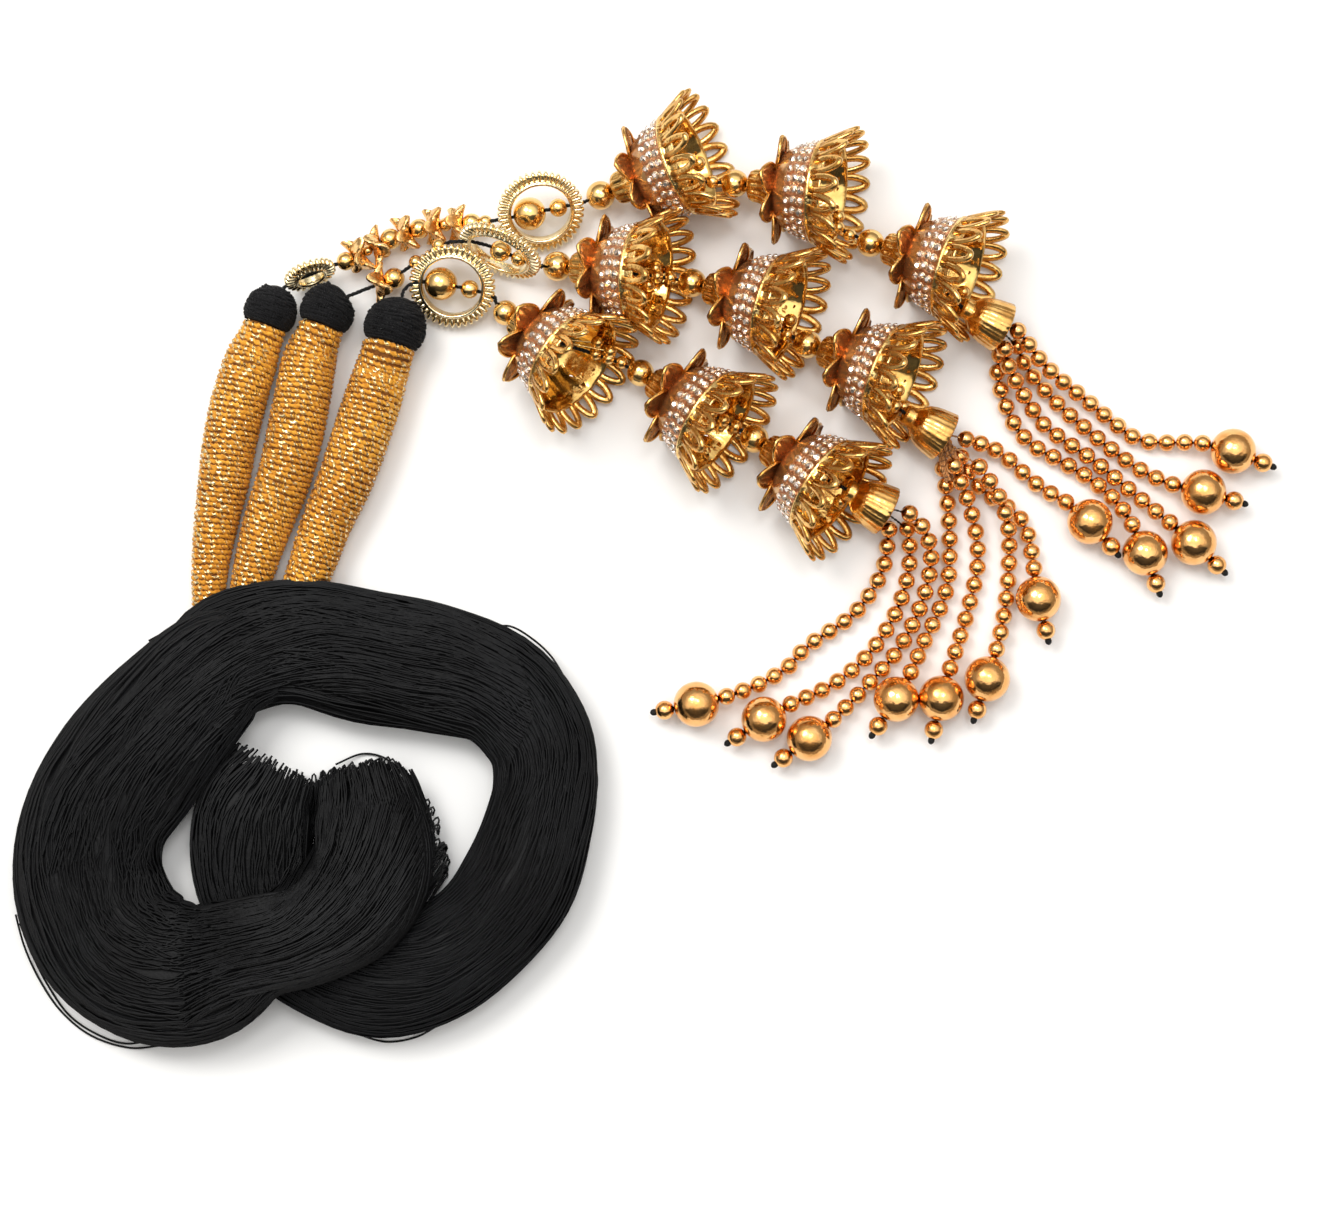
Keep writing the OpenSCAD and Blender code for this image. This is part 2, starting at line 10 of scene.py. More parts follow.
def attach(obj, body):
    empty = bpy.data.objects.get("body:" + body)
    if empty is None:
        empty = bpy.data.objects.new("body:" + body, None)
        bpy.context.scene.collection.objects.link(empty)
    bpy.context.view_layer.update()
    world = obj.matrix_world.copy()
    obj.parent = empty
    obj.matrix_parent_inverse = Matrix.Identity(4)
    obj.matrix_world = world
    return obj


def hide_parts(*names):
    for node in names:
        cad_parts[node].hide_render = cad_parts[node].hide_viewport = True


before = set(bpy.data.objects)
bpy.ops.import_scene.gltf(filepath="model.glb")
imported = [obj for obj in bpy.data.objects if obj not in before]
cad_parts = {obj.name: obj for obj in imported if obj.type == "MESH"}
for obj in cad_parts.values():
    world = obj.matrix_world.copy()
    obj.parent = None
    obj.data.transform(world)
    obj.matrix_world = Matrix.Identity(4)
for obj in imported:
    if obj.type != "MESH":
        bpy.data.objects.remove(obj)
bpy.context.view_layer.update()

# Camera: straight above the tassel, three degrees towards the viewer, 80 cm away, so that the
# raised bells lean outwards in the picture as they do in a product photograph.
camera_away, camera_rise = 0.8, radians(87)


def placed(name, data):
    """Puts a camera, a lamp or a mesh into the scene as an object."""
    thing = bpy.data.objects.new(name, data)
    bpy.context.scene.collection.objects.link(thing)
    return thing


camera = placed("camera", bpy.data.cameras.new("camera"))
bpy.context.scene.camera = camera
camera.data.sensor_width = 36.0
camera.data.lens = 91.7
camera_back = Vector((0.0, -cos(camera_rise), sin(camera_rise)))
camera.location = Vector((0.0036, -0.0096, 0.0)) + camera_away * camera_back
camera.rotation_euler = camera_back.to_track_quat("Z", "Y").to_euler()
camera.data.clip_start = 0.01
bpy.context.scene.view_settings.view_transform = "Standard"

# Floor and light: a seamless white table, a large soft box at the upper left, a weaker one at
# the right, and a bright room, which is what the polished metal mirrors.
table, table_top = 3.0, -0.0004


class Signal:
    """An output of a node. Sums, products and the like add maths nodes; an index gives its node's other outputs."""

    def __init__(self, socket):
        self.socket = socket
        self.tree = socket.id_data

    def __getitem__(self, label):
        return Signal(self.socket.node.outputs[label])

    def to(self, target):
        self.tree.links.new(self.socket, target)

    def maths(self, operation, *others):
        return wire(self.tree, "ShaderNodeMath", dict(enumerate((self, *others))), operation=operation)

    def __add__(self, other):
        return self.maths("ADD", other)

    def __sub__(self, other):
        return self.maths("SUBTRACT", other)

    def __rsub__(self, other):
        return wire(self.tree, "ShaderNodeMath", {0: other, 1: self}, operation="SUBTRACT")

    def __mul__(self, other):
        return self.maths("MULTIPLY", other)

    def __truediv__(self, other):
        return self.maths("DIVIDE", other)


def wire(tree, kind, sources=None, **settings):
    """Adds a node, sets its properties, and links or sets its inputs by name or number; gives its first output."""
    node = tree.nodes.new(kind)
    for key, value in settings.items():
        setattr(node, key, value)
    for key, value in (sources or {}).items():
        if isinstance(value, Signal):
            value.to(node.inputs[key])
        else:
            node.inputs[key].default_value = value
    return Signal(node.outputs[0])


def eased(signal, low, high, step="SMOOTHSTEP"):
    """0 below low, 1 above high, and a step between."""
    return wire(signal.tree, "ShaderNodeMapRange", {"Value": signal, "From Min": low, "From Max": high}, interpolation_type=step)


def scaled(vector, amount):
    return wire(vector.tree, "ShaderNodeVectorMath", {0: vector, "Scale": amount}, operation="SCALE")


def mixed(share, none, whole):
    """Colour that goes from the first to the second as the share goes from 0 to 1."""
    return wire(share.tree, "ShaderNodeMix", {0: share, 6: none, 7: whole}, data_type="RGBA")[2]


def new_paint(name, values, look=None, look_values=None):
    """Material whose shader has the given values and takes what the look's node group puts out."""
    paint = bpy.data.materials.new(name)
    paint.use_nodes = True
    inputs = paint.node_tree.nodes["Principled BSDF"].inputs
    for label, value in values.items():
        inputs[label].default_value = value
    if look:
        group = wire(paint.node_tree, "ShaderNodeGroup", look_values, node_tree=look)
        for socket in group.socket.node.outputs:
            group[socket.name].to(inputs["Base Color" if socket.name == "Color" else socket.name])
    return paint


def shape(name, points, faces=(), edges=(), paints=(), smooth=False):
    """Object with a plain mesh."""
    mesh = bpy.data.meshes.new(name)
    mesh.from_pydata([tuple(p) for p in points], list(edges), [tuple(f) for f in faces])
    for paint in paints:
        mesh.materials.append(paint)
    if smooth:
        mesh.polygons.foreach_set("use_smooth", [True] * len(mesh.polygons))
    return placed(name, mesh)


def soft_box(name, place, size, power, colour):
    """Square lamp that shines at the middle of the table."""
    light = placed(name, bpy.data.lights.new(name, "AREA"))
    light.data.size, light.data.energy, light.data.color = size, power, colour
    light.location = place
    light.rotation_euler = Vector(place).to_track_quat("Z", "Y").to_euler()


shape("floor", [(x * table, y * table, table_top) for x, y in ((-1, -1), (1, -1), (1, 1), (-1, 1))], [(0, 1, 2, 3)],
               paints=[new_paint("table_white", {"Base Color": (0.93, 0.93, 0.93, 1), "Roughness": 0.75})])
soft_box("key_light", (-0.55, 0.55, 1.2), 0.55, 9.0, (1.0, 0.985, 0.95))
soft_box("window_light", (0.12, 0.35, 1.4), 0.3, 3.0, (1.0, 1.0, 1.0))

# The room: pale walls, a bright ceiling and, on the viewer's side, a dark panel that the metal mirrors
room = bpy.data.worlds.new("room")
bpy.context.scene.world = room
room.use_nodes = True
room_tree = room.node_tree
room_way = wire(room_tree, "ShaderNodeSeparateXYZ", {0: wire(room_tree, "ShaderNodeTexCoord")["Generated"]})
room_tone = wire(room_tree, "ShaderNodeValToRGB", {0: room_way["Z"]})
room_ramp = room_tone.socket.node.color_ramp.elements
for spot, (place, colour) in enumerate([(0.0, (0.34, 0.29, 0.24, 1)), (0.42, (0.42, 0.40, 0.37, 1)),
                                        (0.72, (1.20, 1.18, 1.15, 1)), (1.0, (1.85, 1.84, 1.80, 1))]):
    if spot > 1:
        room_ramp.new(place)
    room_ramp[spot].position, room_ramp[spot].color = place, colour
room_panel = (eased(room_way["Y"] * -1.0, 0.15, 0.4)
              * (eased(room_way["Z"], 0.2, 0.4) * (1.0 - eased(room_way["Z"], 0.86, 0.96))))
room_seen = wire(room_tree, "ShaderNodeLightPath")["Is Camera Ray"]
room_light = room_tree.nodes["Background"].inputs
mixed(room_seen, scaled(room_tone, room_panel * -0.92 + 1.0), (0.97, 0.97, 0.97, 1)).to(room_light["Color"])
room_light["Strength"].default_value = 1.0

# Thread hank: black cotton-like thread in two thick bundles that leave the wound stems, go round
# the loop either way and end in cut brushes in its middle. Each bundle is a dark core under a
# coat of single threads that wander and twist along it; nothing holds them but their own tangle.
MM = 0.001
PLACE = Vector((-1.86, 0.51, 0)) * MM


def in_part(point):
    """From the millimetres that the tables are in to the part's metres."""
    return Vector(point) * MM + PLACE


def round_turns(count):
    """Angles of points that are evenly spaced round a circle."""
    return [2 * pi * k / count for k in range(count)]


def smooth_rows(rows, steps):
    """Smooth curve through rows of numbers, with a few steps between two rows."""
    rows = np.array(rows, float)
    last = len(rows) - 1
    out = []
    for i in range(last):
        a, b, c, d = rows[max(i - 1, 0)], rows[i], rows[i + 1], rows[min(i + 2, last)]
        for k in range(steps):
            t = k / steps
            out.append(0.5 * (2 * b + (c - a) * t + (2 * a - 5 * b + 4 * c - d) * t * t
                              + (3 * b - a - 3 * c + d) * t ** 3))
    out.append(rows[last])
    return np.array(out)


def new_group(name, inputs, outputs=None):
    """Shader group with the given outputs, or geometry group. A number or colour is a default value, a word a kind of socket."""
    tree = bpy.data.node_groups.new(name, "ShaderNodeTree" if outputs else "GeometryNodeTree")
    if not outputs:
        inputs, outputs = {"Geometry": "Geometry", **inputs, "Material": "Material"}, {"Geometry": "Geometry"}
    for way, sockets in (("INPUT", inputs), ("OUTPUT", outputs)):
        for label, value in sockets.items():
            kind = value if isinstance(value, str) else {int: "Int", float: "Float", tuple: "Color"}[type(value)]
            socket = tree.interface.new_socket(label, in_out=way, socket_type="NodeSocket" + kind)
            if kind is not value:
                socket.default_value = value
    return tree, Signal(tree.nodes.new("NodeGroupInput").outputs[0]), tree.nodes.new("NodeGroupOutput").inputs


def added(total, *vectors):
    for vector in vectors:
        total = wire(total.tree, "ShaderNodeVectorMath", {0: total, 1: vector}, operation="ADD")
    return total


def joined_xyz(tree, x=0.0, y=0.0, z=0.0):
    return wire(tree, "ShaderNodeCombineXYZ", {"X": x, "Y": y, "Z": z})


def noise(place, detail, scale=1.0):
    return wire(place.tree, "ShaderNodeTexNoise", {"Vector": place, "Scale": scale, "Detail": detail})


def stored(tree, label, kind="FLOAT_VECTOR"):
    """What store() has kept at the points."""
    return wire(tree, "GeometryNodeInputNamedAttribute", {"Name": label}, data_type=kind)


def store(thing, label, values, kind="FLOAT_VECTOR"):
    field = "value" if kind == "FLOAT" else "vector"
    thing.data.attributes.new(label, kind, "POINT").data.foreach_set(field, np.ravel(values).tolist())


def fine_line(tree, count):
    return wire(tree, "GeometryNodeResampleCurve", {"Curve": wire(tree, "GeometryNodeCurvePrimitiveLine"), "Count": count})


def circle(tree, sides, radius):
    return wire(tree, "GeometryNodeCurvePrimitiveCircle", {"Resolution": sides, "Radius": radius})


def tube(line, section):
    return wire(line.tree, "GeometryNodeCurveToMesh", {"Curve": line, "Profile Curve": section, "Fill Caps": True})


def finish_tree(geometry, material, out):
    real = wire(geometry.tree, "GeometryNodeRealizeInstances", {"Geometry": geometry})
    wire(geometry.tree, "GeometryNodeSetMaterial", {"Geometry": real, "Material": material}).to(out[0])


def grown(carrier, tree, values, name, smooth=True):
    """Runs a geometry tree on the carrier with named inputs and keeps the result as a plain mesh."""
    modifier = carrier.modifiers.new("make", "NODES")
    modifier.node_group = tree
    for item in tree.interface.items_tree:
        if item.item_type == "SOCKET" and item.in_out == "INPUT" and item.name in values:
            modifier[item.identifier] = values[item.name]
    carrier.data.update()
    depsgraph = bpy.context.evaluated_depsgraph_get()
    mesh = bpy.data.meshes.new_from_object(carrier.evaluated_get(depsgraph), depsgraph=depsgraph)
    carrier.modifiers.clear()
    bpy.data.objects.remove(carrier)
    mesh.name = name
    mesh.polygons.foreach_set("use_smooth", [smooth] * len(mesh.polygons))
    return placed(name, mesh)


def band(low, high, sides):
    """Faces between two rings, each given by its first point."""
    return [(low + k, low + (k + 1) % sides, high + (k + 1) % sides, high + k) for k in range(sides)]


def lattice(rows, sides, closed=False):
    """Faces over rings of points, which close on themselves or are capped at both ends."""
    faces = [face for i in range(rows if closed else rows - 1) for face in band(i * sides, (i + 1) % rows * sides, sides)]
    return faces if closed else faces + [tuple(range(sides))[::-1], tuple(range((rows - 1) * sides, rows * sides))]


def skin(name, rings, paint):
    """Closed smooth surface over rings of points."""
    return shape(name, [p for ring in rings for p in ring], lattice(len(rings), len(rings[0])), paints=[paint], smooth=True)


def hand_in(piece, slot, *nodes):
    if nodes:
        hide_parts(*nodes)
    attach(piece, "root")


# Look of spun thread: darker and lighter fibres with fine grain
thread_look, look_in, look_out = new_group(
    "thread_look", {"Dark": (0.01, 0.01, 0.01, 1), "Light": (0.05, 0.05, 0.05, 1), "Grain": 900.0, "Depth": 0.3},
    {"Color": "Color", "Normal": "Vector"})
look_place = wire(thread_look, "ShaderNodeTexCoord")["Object"]
look_fine = noise(look_place, 3.0, look_in["Grain"])
look_share = eased(look_fine * noise(look_place, 2.0, 45.0), 0.12, 0.42, "LINEAR")
mixed(look_share, look_in["Dark"], look_in["Light"]).to(look_out["Color"])
wire(thread_look, "ShaderNodeBump", {"Height": look_fine, "Strength": look_in["Depth"], "Distance": 0.0003}).to(look_out["Normal"])


def thread_paint(name, dark, light, grain, depth, roughness, sheen):
    return new_paint(name, {"Roughness": roughness, "Specular IOR Level": 0.2, "Sheen Weight": sheen, "Sheen Roughness": 0.4},
                     thread_look, {"Dark": (*dark, 1), "Light": (*light, 1), "Grain": grain, "Depth": depth})


hank_black = thread_paint("hank_black", (0.0026, 0.0027, 0.0032), (0.0088, 0.0092, 0.0106), 1400.0, 0.4, 0.6, 0.0)

# Rows of a bundle: x, y, height of the underside, half width, half height, in millimetres
right_bundle = [
    (-106, -30, 1, 11, 7), (-96, -21, 0, 14, 8.5), (-80, -18.5, 0, 14.5, 9), (-64, -22, 0, 15.5, 8.5),
    (-49, -24.5, 0, 15, 8.5), (-33.5, -29.5, 0, 13.5, 8.5), (-24.5, -40, 0, 12.5, 8.5), (-22.5, -50, 0, 12, 8.5),
    (-24, -61, 0, 12.5, 8.5), (-28.5, -74, 0, 13.5, 8.5), (-36.5, -85, 0, 13, 8), (-48, -93.5, 0, 13.5, 8),
    (-61, -97, 0, 13.5, 7.5), (-74, -94, 0, 12, 6.5), (-85, -87, 0, 11.5, 6), (-90.5, -76, 0, 13, 6.5),
    (-91.5, -65, 0, 14, 7), (-90, -55, 0, 13, 7), (-86.5, -48, 0, 10, 6)]
left_bundle = [
    (-86, -21, 3, 11, 7.5), (-97, -24, 3, 14, 8.5), (-108, -34, 1, 16, 9.5), (-119, -47, 0, 17.5, 9.5),
    (-127, -60, 0, 17, 9.5), (-128.5, -74, 0, 17.5, 9), (-123, -87, 0, 18, 9), (-112, -94.5, 0, 17.5, 9),
    (-100, -94.5, 3, 16, 8.5), (-88, -89, 9, 12, 8), (-76, -86, 10, 11.5, 8), (-66, -79, 7, 13.5, 8.5),
    (-62, -69, 3, 14, 9), (-63, -58, 0.5, 13, 9), (-64.5, -49.5, 0, 9, 7.5)]


def bundle_frame(rows, steps):
    """Middle, half-width and half-height vectors of a bundle along its way, in metres, and the way."""
    p = smooth_rows(rows, steps)
    way = np.gradient(p[:, :2], axis=0)
    way /= np.linalg.norm(way, axis=1)[:, None]
    side = np.c_[-way[:, 1], way[:, 0], np.zeros(len(p))] * p[:, 3:4]
    up = np.c_[np.zeros(len(p)), np.zeros(len(p)), p[:, 4]]
    middle = np.c_[p[:, 0], p[:, 1], p[:, 2] + p[:, 4]]
    return middle * MM + np.array(PLACE), side * MM, up * MM, np.c_[way, np.zeros(len(p))]


def bundle_core(name, rows, share):
    """Dark core with shallow grooves between its locks."""
    rings, last = [], 4 * (len(rows) - 1)
    for i, (middle, side, up, _) in enumerate(zip(*bundle_frame(rows, 4))):
        end = sin(pi / 2 * min(1.0, 0.2 + 0.16 * (last - i)))
        rings.append([middle + share * end * (1 - 0.07 * sin(4 * a + 0.07 * i) ** 2) * (cos(a) * side + sin(a) * up)
                      for a in round_turns(48)])
    return skin(name, rings, hank_black)


# Geometry tree: threads laid round a guide line whose points hold its half width and height
coat_tree, coat_in, coat_out = new_group("thread_coat", {
    "Threads": 120, "Steps": 60, "Thread": 0.0003, "From": -0.6, "To": 3.7, "Twist": 0.5, "Wander": 0.35, "Depth": 0.2,
    "Tail": 0.003, "Round": 0.04, "Seed": 1.0})
coat_many = wire(coat_tree, "GeometryNodeDuplicateElements", {
    "Geometry": fine_line(coat_tree, coat_in["Steps"]), "Amount": coat_in["Threads"]}, domain="SPLINE")
coat_rank = coat_many["Duplicate Index"]
coat_along = wire(coat_tree, "GeometryNodeSplineParameter")["Factor"]


def chance(rank, seed):
    return wire(rank.tree, "FunctionNodeRandomValue", {2: 0.0, 3: 1.0, "ID": rank, "Seed": seed}, data_type="FLOAT")[1]


coat_share = chance(coat_rank, coat_in["Seed"])
coat_level = chance(coat_rank, coat_in["Seed"] + 7.0)
coat_even = (coat_rank + coat_share) / coat_in["Threads"]
coat_drift = noise(joined_xyz(coat_tree, coat_even * 5.0, coat_along * 7.0, coat_share * 0.8), 1.5)
coat_own = noise(joined_xyz(coat_tree, coat_level * 40.0, coat_along * 9.0, 3.0), 1.0)
coat_angle = coat_even * (coat_in["To"] - coat_in["From"]) + coat_in["From"]
# Threads at the sides of a bundle end before those in its middle
coat_edge = (coat_in["Twist"] * 0.5 + coat_angle).maths("COSINE").maths("ABSOLUTE")
coat_step = coat_along * (1.0 - coat_in["Round"] * coat_edge.maths("POWER", 3.0)) * (coat_in["Steps"] - 1.001)


def guide_vector(label):
    here, after = [wire(coat_tree, "GeometryNodeSampleIndex", {
        "Geometry": coat_in["Geometry"], "Value": stored(coat_tree, label), "Index": coat_step.maths("FLOOR") + step},
        data_type="FLOAT_VECTOR", domain="POINT") for step in (0.0, 1.0)]
    return wire(coat_tree, "ShaderNodeMix", {0: coat_step.maths("FRACT"), 4: here, 5: after}, data_type="VECTOR")[1]


for amount, offset in ((coat_in["Twist"], coat_along), (coat_in["Wander"], coat_drift), (coat_in["Wander"] * 0.5, coat_own)):
    coat_angle = amount * (offset - 0.5) + coat_angle
coat_reach = 1.0 - coat_in["Depth"] * (coat_level * (coat_own * 1.6))
coat_tail = coat_in["Tail"] * (coat_share * eased(coat_along, 0.96, 1.0))
coat_point = added(guide_vector("middle"), scaled(guide_vector("way"), coat_tail),
                   scaled(guide_vector("side"), coat_reach * coat_angle.maths("COSINE")),
                   scaled(guide_vector("up"), coat_reach * coat_angle.maths("SINE")))
coat_laid = wire(coat_tree, "GeometryNodeSetPosition", {"Geometry": coat_many, "Position": coat_point})
finish_tree(tube(coat_laid, circle(coat_tree, 3, coat_in["Thread"])), coat_in["Material"], coat_out)


def bundle_coat(name, rows, steps, values):
    vectors = bundle_frame(rows, steps)
    count = len(vectors[0])
    guide = shape(name + "_guide", vectors[0], edges=[(i, i + 1) for i in range(count - 1)])
    for label, data in zip(("middle", "side", "up", "way"), vectors):
        store(guide, label, data)
    return grown(guide, coat_tree, dict(values, Steps=count, Material=hank_black), name)


hank_core_right = bundle_core("hank_core_right", right_bundle, 0.95)
hank_core_left = bundle_core("hank_core_left", left_bundle, 0.95)
hank_coat_right = bundle_coat("hank_coat_right", right_bundle, 5, {
    "Threads": 190, "Thread": 0.00029, "Twist": 1.1, "Wander": 0.75, "Depth": 0.1, "Round": 0.02, "Seed": 3.0})
hank_coat_left = bundle_coat("hank_coat_left", left_bundle, 5, {
    "Threads": 210, "Thread": 0.00029, "Twist": -0.8, "Wander": 0.85, "Depth": 0.1, "Round": 0.035, "Seed": 9.0})

# Geometry tree: plain round thread along every line of the mesh
laid_tree, laid_in, laid_out = new_group("laid_thread", {"Thread": 0.0003, "Sides": 4})
laid_line = wire(laid_tree, "GeometryNodeMeshToCurve", {"Mesh": laid_in["Geometry"]})
finish_tree(tube(laid_line, circle(laid_tree, laid_in["Sides"], laid_in["Thread"])), laid_in["Material"], laid_out)


def laid(name, lines, radius, sides, paint):
    edges, start = [], 0
    for line in lines:
        edges += [(start + i, start + i + 1) for i in range(len(line) - 1)]
        start += len(line)
    return grown(shape(name + "_lines", [p for line in lines for p in line], edges=edges), laid_tree,
                 {"Thread": radius, "Sides": sides, "Material": paint}, name)


hank_cores = [BVHTree.FromPolygons([v.co for v in core.data.vertices], [f.vertices for f in core.data.polygons])
              for core in (hank_core_right, hank_core_left)]


def draped(x, y, lift):
    """Height of a thread on top of the hank, or on the table beside it."""
    tops = [core.ray_cast(in_part((x, y, 100)), Vector((0, 0, -1)))[0] for core in hank_cores]
    return max([top.z for top in tops if top] + [0]) + lift


# Threads that lie across the bundles: guide lines from one side of the sweep to the other
top_sweep = [
    [(-146, -76), (-139, -53), (-126, -37), (-109, -20), (-96, -11), (-80, -6.5), (-62, -9), (-44, -12), (-30, -19)],
    [(-135, -72), (-128, -53), (-116, -39), (-102, -26), (-89, -17.5), (-74, -13.5), (-57, -16), (-42, -19), (-27, -27)],
    [(-122, -66), (-116, -51), (-107, -40), (-97, -31), (-85, -25), (-70, -22), (-54, -25), (-40, -28), (-25, -36)],
    [(-113, -60), (-106, -49), (-99, -41), (-91, -34.5), (-80, -31), (-66, -31), (-52, -34), (-40, -36), (-30, -46)]]
fan_sweep = [
    [(-104, -80), (-94, -79), (-86, -77.5), (-81, -71), (-79.5, -62), (-79, -53)],
    [(-106, -87), (-94, -85), (-82, -81), (-75, -71), (-71.5, -60), (-70, -49.5)],
    [(-106, -94), (-94, -90), (-80, -86), (-69, -77), (-62.5, -65), (-58.5, -47.5)],
    [(-106, -101), (-94, -96), (-78, -92), (-65, -85), (-57, -75), (-49.6, -60.5)],
    [(-106, -108), (-94, -101), (-76, -96.5), (-62, -91.5), (-53, -83), (-46.8, -73.5)]]


def sweep(guides, count, spread, tuft, lifts, seed):
    """Threads between the guide lines, draped over the bundles; tuft lets some end in a small loop."""
    steepest = 0.0022  # how far a thread drops from one point to the next
    rng = np.random.default_rng(seed)
    guides = np.array([smooth_rows(g, 6) for g in guides])
    lines = []
    for _ in range(count):
        v = rng.uniform(0, len(guides) - 1.001)
        k, f = int(v), v % 1
        path = guides[k] * (1 - f) + guides[k + 1] * f
        n = len(path)
        begin = int(rng.integers(0, n // 4))
        wave = np.cumsum(rng.normal(0, spread, n))
        way = np.gradient(path, axis=0)
        way /= np.linalg.norm(way, axis=1)[:, None]
        path = path + np.c_[-way[:, 1], way[:, 0]] * (wave - np.linspace(0, wave[-1], n) * 0.7)[:, None]
        path = path[begin:]
        if tuft:
            end, out = path[-1], way[-1]
            side = np.array([-out[1], out[0]]) * rng.choice([-1, 1])
            far = rng.uniform(0.4, 2.4)
            path = np.vstack([path, end + out * far * 0.6])
            if rng.random() < tuft:
                path = np.vstack([path, end + out * far + side * 0.2, end + out * (far + 0.5) + side * 0.6,
                                  end + out * far + side * 1.0, end + out * far * 0.3 + side * 1.1])
        lift = rng.uniform(*lifts)
        heights = np.array([draped(x, y, lift * MM) for x, y in path])
        for i in range(1, len(heights)):
            heights[i] = max(heights[i], heights[i - 1] - steepest)
        heights = np.convolve(np.pad(heights, 1, mode="edge"), [0.25, 0.5, 0.25], "valid")
        lines.append([Vector((x * MM + PLACE.x, y * MM + PLACE.y, z)) for (x, y), z in zip(path, heights)])
    return lines


# A few threads have slipped out of the hank and lie beside it on the table
stray_threads = [
    [(-146, -82, 6), (-144.5, -90, 2), (-141, -98, 0.4), (-136, -105, 0.4), (-129, -110.5, 0.4), (-120, -113.3, 0.4),
     (-112, -112.5, 2)],
    [(-145, -84, 6), (-143, -91, 2), (-139.5, -98.5, 0.4), (-134.5, -105.5, 0.4), (-128, -110, 0.4), (-121, -112.3, 0.4),
     (-113, -111, 2)],
    [(-130, -46, 7), (-132.5, -41, 4), (-131.5, -38, 3), (-128.5, -38.5, 5), (-126, -39.5, 7)],
    [(-72, -47, 2), (-66, -44.5, 0.5), (-60.5, -45.5, 0.5), (-57, -49, 2)],
    [(-36, -15, 6), (-31, -14.6, 4), (-26, -17.4, 4), (-21.4, -21.6, 5), (-18, -27, 6)],
    [(-116, -18, 3), (-110, -14.6, 2), (-104, -11.5, 3), (-100, -10.6, 5)],
    [(-12.5, -62, 5), (-11.2, -56, 3), (-10.6, -50, 3), (-12, -43, 6)],
    [(-66, -110, 3), (-60, -111.9, 0.4), (-53, -110.8, 0.4), (-47, -107.4, 3)],
    [(-39, -70, 3), (-36.5, -61, 1), (-34.2, -52, 1), (-34.6, -44, 4)]]
hank_sweep = laid("hank_sweep", sweep(top_sweep, 190, 0.16, 0.0, (0.3, 1.1), 5), 0.00025, 3, hank_black)
hank_fan = laid("hank_fan", sweep(fan_sweep, 320, 0.16, 0.4, (0.6, 1.9), 6), 0.00027, 3, hank_black)
hank_strays = laid("hank_strays", [[in_part(p) for p in smooth_rows(line, 8)] for line in stray_threads], 0.00026, 5, hank_black)
hand_in(hank_core_right, "black_thread", "hank")
for piece in (hank_core_left, hank_coat_right, hank_coat_left, hank_sweep, hank_fan, hank_strays):
    hand_in(piece, "black_thread")

# Stems: three bundles of the same threads, each bound into a firm rod by a twisted ochre thread
# with metallic glints that is wound on edge to edge, from its knob down to where the hank opens.
stems = [  # x, y, radius
    [(-91.8, 48, 6.3), (-94.5, 39, 6.6), (-96.7, 29, 6.5), (-98.2, 19, 6.1), (-100, 9.5, 5.3), (-101.4, -0.5, 4.5),
     (-101.8, -10, 3.9), (-101.5, -18, 3.6)],
    [(-78.2, 48, 6.5), (-79.8, 39, 6.8), (-81.7, 29, 6.8), (-84.3, 19, 6.5), (-87.8, 9.5, 6), (-90.8, -0.5, 5.2),
     (-92.6, -8.5, 4.5), (-93.5, -16, 4.1)],
    [(-61.6, 44, 6.6), (-63.4, 38, 6.9), (-66.3, 29, 6.9), (-69.8, 19, 6.6), (-74, 9.5, 6.1), (-77.5, -0.5, 5.6),
     (-79.8, -6.5, 5.2), (-82, -14, 4.8)]]
knobs = [  # x, y, radius, heading of the stem and of the cord
    (-87.4, 59.4, 6.3, 70, 75), (-74, 59.4, 6.5, 70, 35), (-58, 55.4, 7.4, 73, 80)]


def knob_middle(x, y, radius):
    """Middle of a knob, which lies a little above the table."""
    return Vector((x, y, radius + 0.3))


def heading(turn, slope=0.0):
    a, b = radians(turn), radians(slope)
    return Vector((cos(b) * cos(a), cos(b) * sin(a), sin(b)))


def way_at(line, i):
    """Way of a line at one of its points."""
    return (line[min(i + 1, len(line) - 1)] - line[max(i - 1, 0)]).normalized()


def length_of(line):
    return sum((a - b).length for a, b in zip(line, line[1:]))


def round_rings(middle, radius, sides):
    """Rings of points round a line, for skin()."""
    rings = []
    for i, m in enumerate(middle):
        side = Vector((0, 0, 1)).cross(way_at(middle, i)).normalized()
        up = way_at(middle, i).cross(side)
        rings.append([m + radius[i] * (cos(a) * side + sin(a) * up) for a in round_turns(sides)])
    return rings


# Geometry tree: one twisted thread wound round a guide line that holds its radius
wound_tree, wound_in, wound_out = new_group("wound_thread", {
    "Turns": 50.0, "Steps": 4000, "Thread": 0.0006, "Flatness": 0.62, "Lay": 0.0022, "Looseness": 0.0002, "Start": 0.0,
    "Sides": 6, "Seed": 1.0, "Foil": "Material"})
wound_guide = wire(wound_tree, "GeometryNodeSetCurveNormal", {
    "Curve": wire(wound_tree, "GeometryNodeMeshToCurve", {"Mesh": wound_in["Geometry"]})}, mode="Z_UP")
wound_spline = wire(wound_tree, "GeometryNodeSplineParameter")
wound_at = wire(wound_tree, "GeometryNodeSampleCurve", {
    "Curves": wound_guide, "Value": stored(wound_tree, "radius_here", "FLOAT"), "Factor": wound_spline["Factor"]},
    mode="FACTOR", use_all_curves=True)
wound_angle = wound_spline["Factor"] * wound_in["Turns"] * (2 * pi) + wound_in["Start"]
wound_across = wire(wound_tree, "ShaderNodeVectorMath", {0: wound_at["Tangent"], 1: wound_at["Normal"]}, operation="CROSS_PRODUCT")
